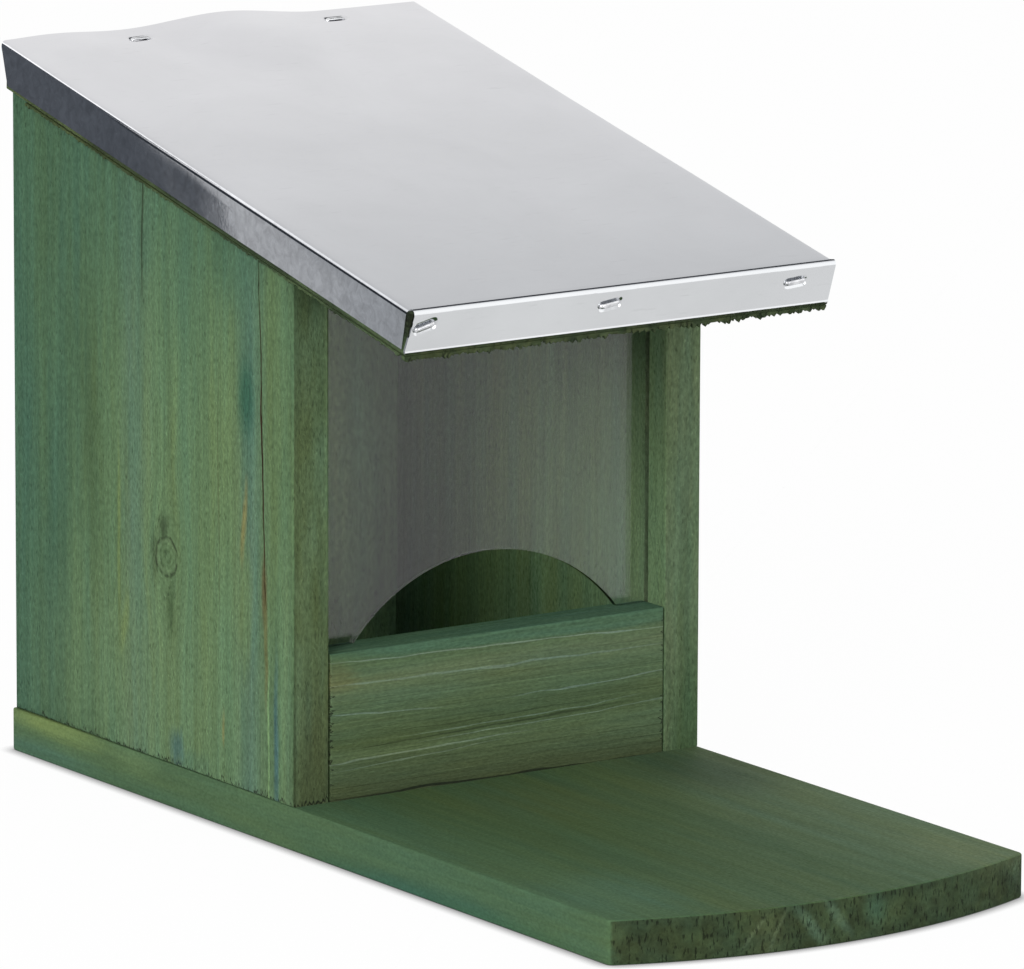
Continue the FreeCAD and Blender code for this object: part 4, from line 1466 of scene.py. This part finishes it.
@dataclass
class Hardware:
    """Butt hinges, their pins and all the screws."""

    leaves: ZincPlating = ZincPlating("zinc plated hinge steel", "#c9c6b4", "#a9a695", 0.32)
    pins: ZincPlating = ZincPlating("zinc plated hinge pin", "#b5b4ac", "#8f8e88", 0.28)
    screws: ZincPlating = ZincPlating("zinc plated screw steel", "#cbc6ae", "#a39e86", 0.3)

    def build(self, nodes: dict[str, bpy.types.Object]) -> None:
        """Dresses hinges and screws.

        Args:
            nodes: The construction's pieces by name.
        """
        leaf, pin, screw = self.leaves.build(), self.pins.build(), self.screws.build()
        for side in ("left", "right"):
            dress(nodes[f"hinge_{side}_fixed_leaf"], leaf)
            dress(nodes[f"hinge_{side}_lid_leaf"], leaf)
            dress(nodes[f"hinge_{side}_pin"], pin)
        for name in ("base_screws", "hinge_fixed_screws", "hinge_lid_screws"):
            dress(nodes[name], screw)


@dataclass
class Softbox:
    """A soft rectangular lamp that looks at a point. Lengths in metres, power in watts."""

    name: str
    place: tuple[float, float, float]
    size: float
    power: float

    def build(self, target: Vector) -> None:
        """Hangs the lamp.

        Args:
            target: The point that it is aimed at.
        """
        lamp = bpy.data.lights.new(self.name, "AREA")
        lamp.shape = "SQUARE"
        lamp.size = self.size
        lamp.energy = self.power
        holder = bpy.data.objects.new(self.name, lamp)
        bpy.context.scene.collection.objects.link(holder)
        holder.location = self.place
        aim = target - Vector(self.place)
        holder.rotation_euler = aim.to_track_quat("-Z", "Y").to_euler()


@dataclass
class Card:
    """A grey card that only polished metal mirrors. Lengths in metres.

    It stands upright across X, or hangs level where flat is true.
    """

    name: str
    centre: tuple[float, float, float]
    size: tuple[float, float]
    tone: str
    flat: bool = False
    glow: float = 1.0

    def build(self) -> None:
        """Sets up the card."""
        bpy.ops.object.select_all(action="DESELECT")
        turn = 0.0 if self.flat else math.radians(90.0)
        bpy.ops.mesh.primitive_plane_add(size=1.0, location=self.centre,
                                         rotation=(0.0, turn, 0.0))
        card = bpy.context.active_object
        card.name = self.name
        card.scale = (self.size[1], self.size[0], 1.0)
        material, tree = empty_material(self.name)
        path = add_node(tree, "LightPath")
        clear = add_node(tree, "BsdfTransparent")
        grey = add_node(tree, "Emission", {"Color": colour(self.tone), "Strength": self.glow})
        shader = add_node(tree, "MixShader", {0: path.outputs["Is Glossy Ray"],
                                              1: clear.outputs[0], 2: grey.outputs[0]})
        close_material(tree, shader)
        card.data.materials.append(material)


@dataclass
class Studio:
    """White floor and background, soft lamps and the camera. Lengths in metres."""

    azimuth: float = -34.33
    elevation: float = 11.59
    roll: float = 0.23
    distance: float = 2.4193
    lens: float = 345.4
    sensor: float = 36.0
    aim: tuple[float, float, float] = (0.01655, 0.0245, 0.0788)
    ambient: float = 0.6
    floor_size: float = 12.0
    floor_glow: float = 0.97
    contact_reach: float = 0.004
    contact_depth: float = 1.4
    lamps: list[Softbox] = field(default_factory=lambda: [
        Softbox("key softbox", (-1.7, -0.95, 0.95), 1.1, 23.0),
        Softbox("front softbox", (0.1, -2.1, 0.62), 1.1, 9.0),
    ])
    cards: list[Card] = field(default_factory=lambda: [
        Card("dark side card", (-0.2, 0.4255, 0.2), (0.349, 0.36), "#595e65"),
        Card("light side card", (-0.2, 0.2205, 0.09), (0.061, 0.14), "#cdcfd1"),
        Card("grey side card", (-0.2, 0.085, 0.09), (0.21, 0.14), "#bfc2c5"),
        Card("dark upper card", (-0.2, 0.1155, 0.2125), (0.271, 0.105), "#3a3f45"),
        Card("dark overhead card", (0.58, 0.17, 0.94), (0.55, 0.36), "#55585c", flat=True),
        Card("bright side fold card", (-0.338, 0.5, 0.9), (1.0, 0.9), "#ffffff", glow=1.6),
        Card("bright front fold card", (0.7, -0.8, 0.7), (1.0, 1.2), "#ffffff", glow=1.5),
    ])

    def camera(self) -> None:
        """Sets up the camera at the photograph's angle."""
        side = math.radians(self.azimuth)
        height = math.radians(self.elevation)
        back = Vector((math.sin(side) * math.cos(height), -math.cos(side) * math.cos(height),
                       math.sin(height)))
        level = Vector((0.0, 0.0, 1.0)).cross(back).normalized()
        turn = Matrix.Rotation(math.radians(self.roll), 3, back)
        right = turn @ level
        up = back.cross(right)
        data = bpy.data.cameras.new("camera")
        data.lens = self.lens
        data.sensor_width = self.sensor
        data.sensor_fit = "HORIZONTAL"
        data.clip_end = 50.0
        eye = bpy.data.objects.new("camera", data)
        bpy.context.scene.collection.objects.link(eye)
        place = Matrix((right, up, back)).transposed().to_4x4()
        place.translation = Vector(self.aim) + back * self.distance
        eye.matrix_world = place
        bpy.context.scene.camera = eye

    def seen(self, tree: bpy.types.NodeTree) -> bpy.types.NodeSocket:
        """A factor that is 1 for camera, mirror and clear-pane rays.

        Args:
            tree: The node tree.

        Returns:
            The factor's socket.
        """
        path = add_node(tree, "LightPath")
        direct = add_node(tree, "Math", {0: path.outputs["Is Camera Ray"],
                                         1: path.outputs["Is Glossy Ray"]},
                          operation="ADD", use_clamp=True)
        return add_node(tree, "Math", {0: direct.outputs[0],
                                       1: path.outputs["Is Transmission Ray"]},
                        operation="ADD", use_clamp=True).outputs[0]

    def background(self) -> None:
        """Makes the world white to the eye, and a plain soft light on the object."""
        world = bpy.data.worlds.new("studio")
        bpy.context.scene.world = world
        world.use_nodes = True
        tree = world.node_tree
        tree.nodes.clear()
        strength = add_node(tree, "MapRange", {"Value": self.seen(tree), "To Min": self.ambient,
                                               "To Max": 1.0})
        light = add_node(tree, "Background", {"Color": colour("#ffffff"),
                                              "Strength": strength.outputs[0]})
        add_node(tree, "OutputWorld", {"Surface": light.outputs[0]})

    def floor(self) -> None:
        """Lays a plain pale floor that keeps the object's soft shadow."""
        bpy.ops.object.select_all(action="DESELECT")
        bpy.ops.mesh.primitive_plane_add(size=self.floor_size)
        floor = bpy.context.active_object
        floor.name = "floor"
        material, tree = empty_material("white studio floor")
        matt = add_node(tree, "BsdfDiffuse", {"Color": colour("#fafafa")})
        contact = add_node(tree, "AmbientOcclusion", {"Distance": self.contact_reach},
                           samples=16)
        dark = add_node(tree, "Math", {0: contact.outputs["AO"], 1: self.contact_depth},
                        operation="POWER")
        glow = add_node(tree, "Emission", {"Color": colour("#ffffff"),
                                           "Strength": dark.outputs[0]})
        share = add_node(tree, "Math", {0: self.seen(tree), 1: self.floor_glow},
                         operation="MULTIPLY")
        shader = add_node(tree, "MixShader", {0: share.outputs[0], 1: matt.outputs[0],
                                              2: glow.outputs[0]})
        close_material(tree, shader)
        floor.data.materials.append(material)

    def build(self) -> None:
        """Sets up the whole studio."""
        bpy.context.scene.view_settings.view_transform = "Standard"
        self.camera()
        self.background()
        self.floor()
        for lamp in self.lamps:
            lamp.build(Vector(self.aim))
        for card in self.cards:
            card.build()


def main() -> None:
    """Builds the feeder's looks around the construction."""
    logging.basicConfig(level=logging.INFO, format="%(message)s")
    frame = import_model()
    bpy.ops.object.select_all(action="DESELECT")
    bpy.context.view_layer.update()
    nodes = frame["nodes"]
    for assembly in (HopperBox(), LandingBoard(), SheetLid(), Hardware()):
        assembly.build(nodes)
    Studio().build()


if __name__ == "__main__":
    main()
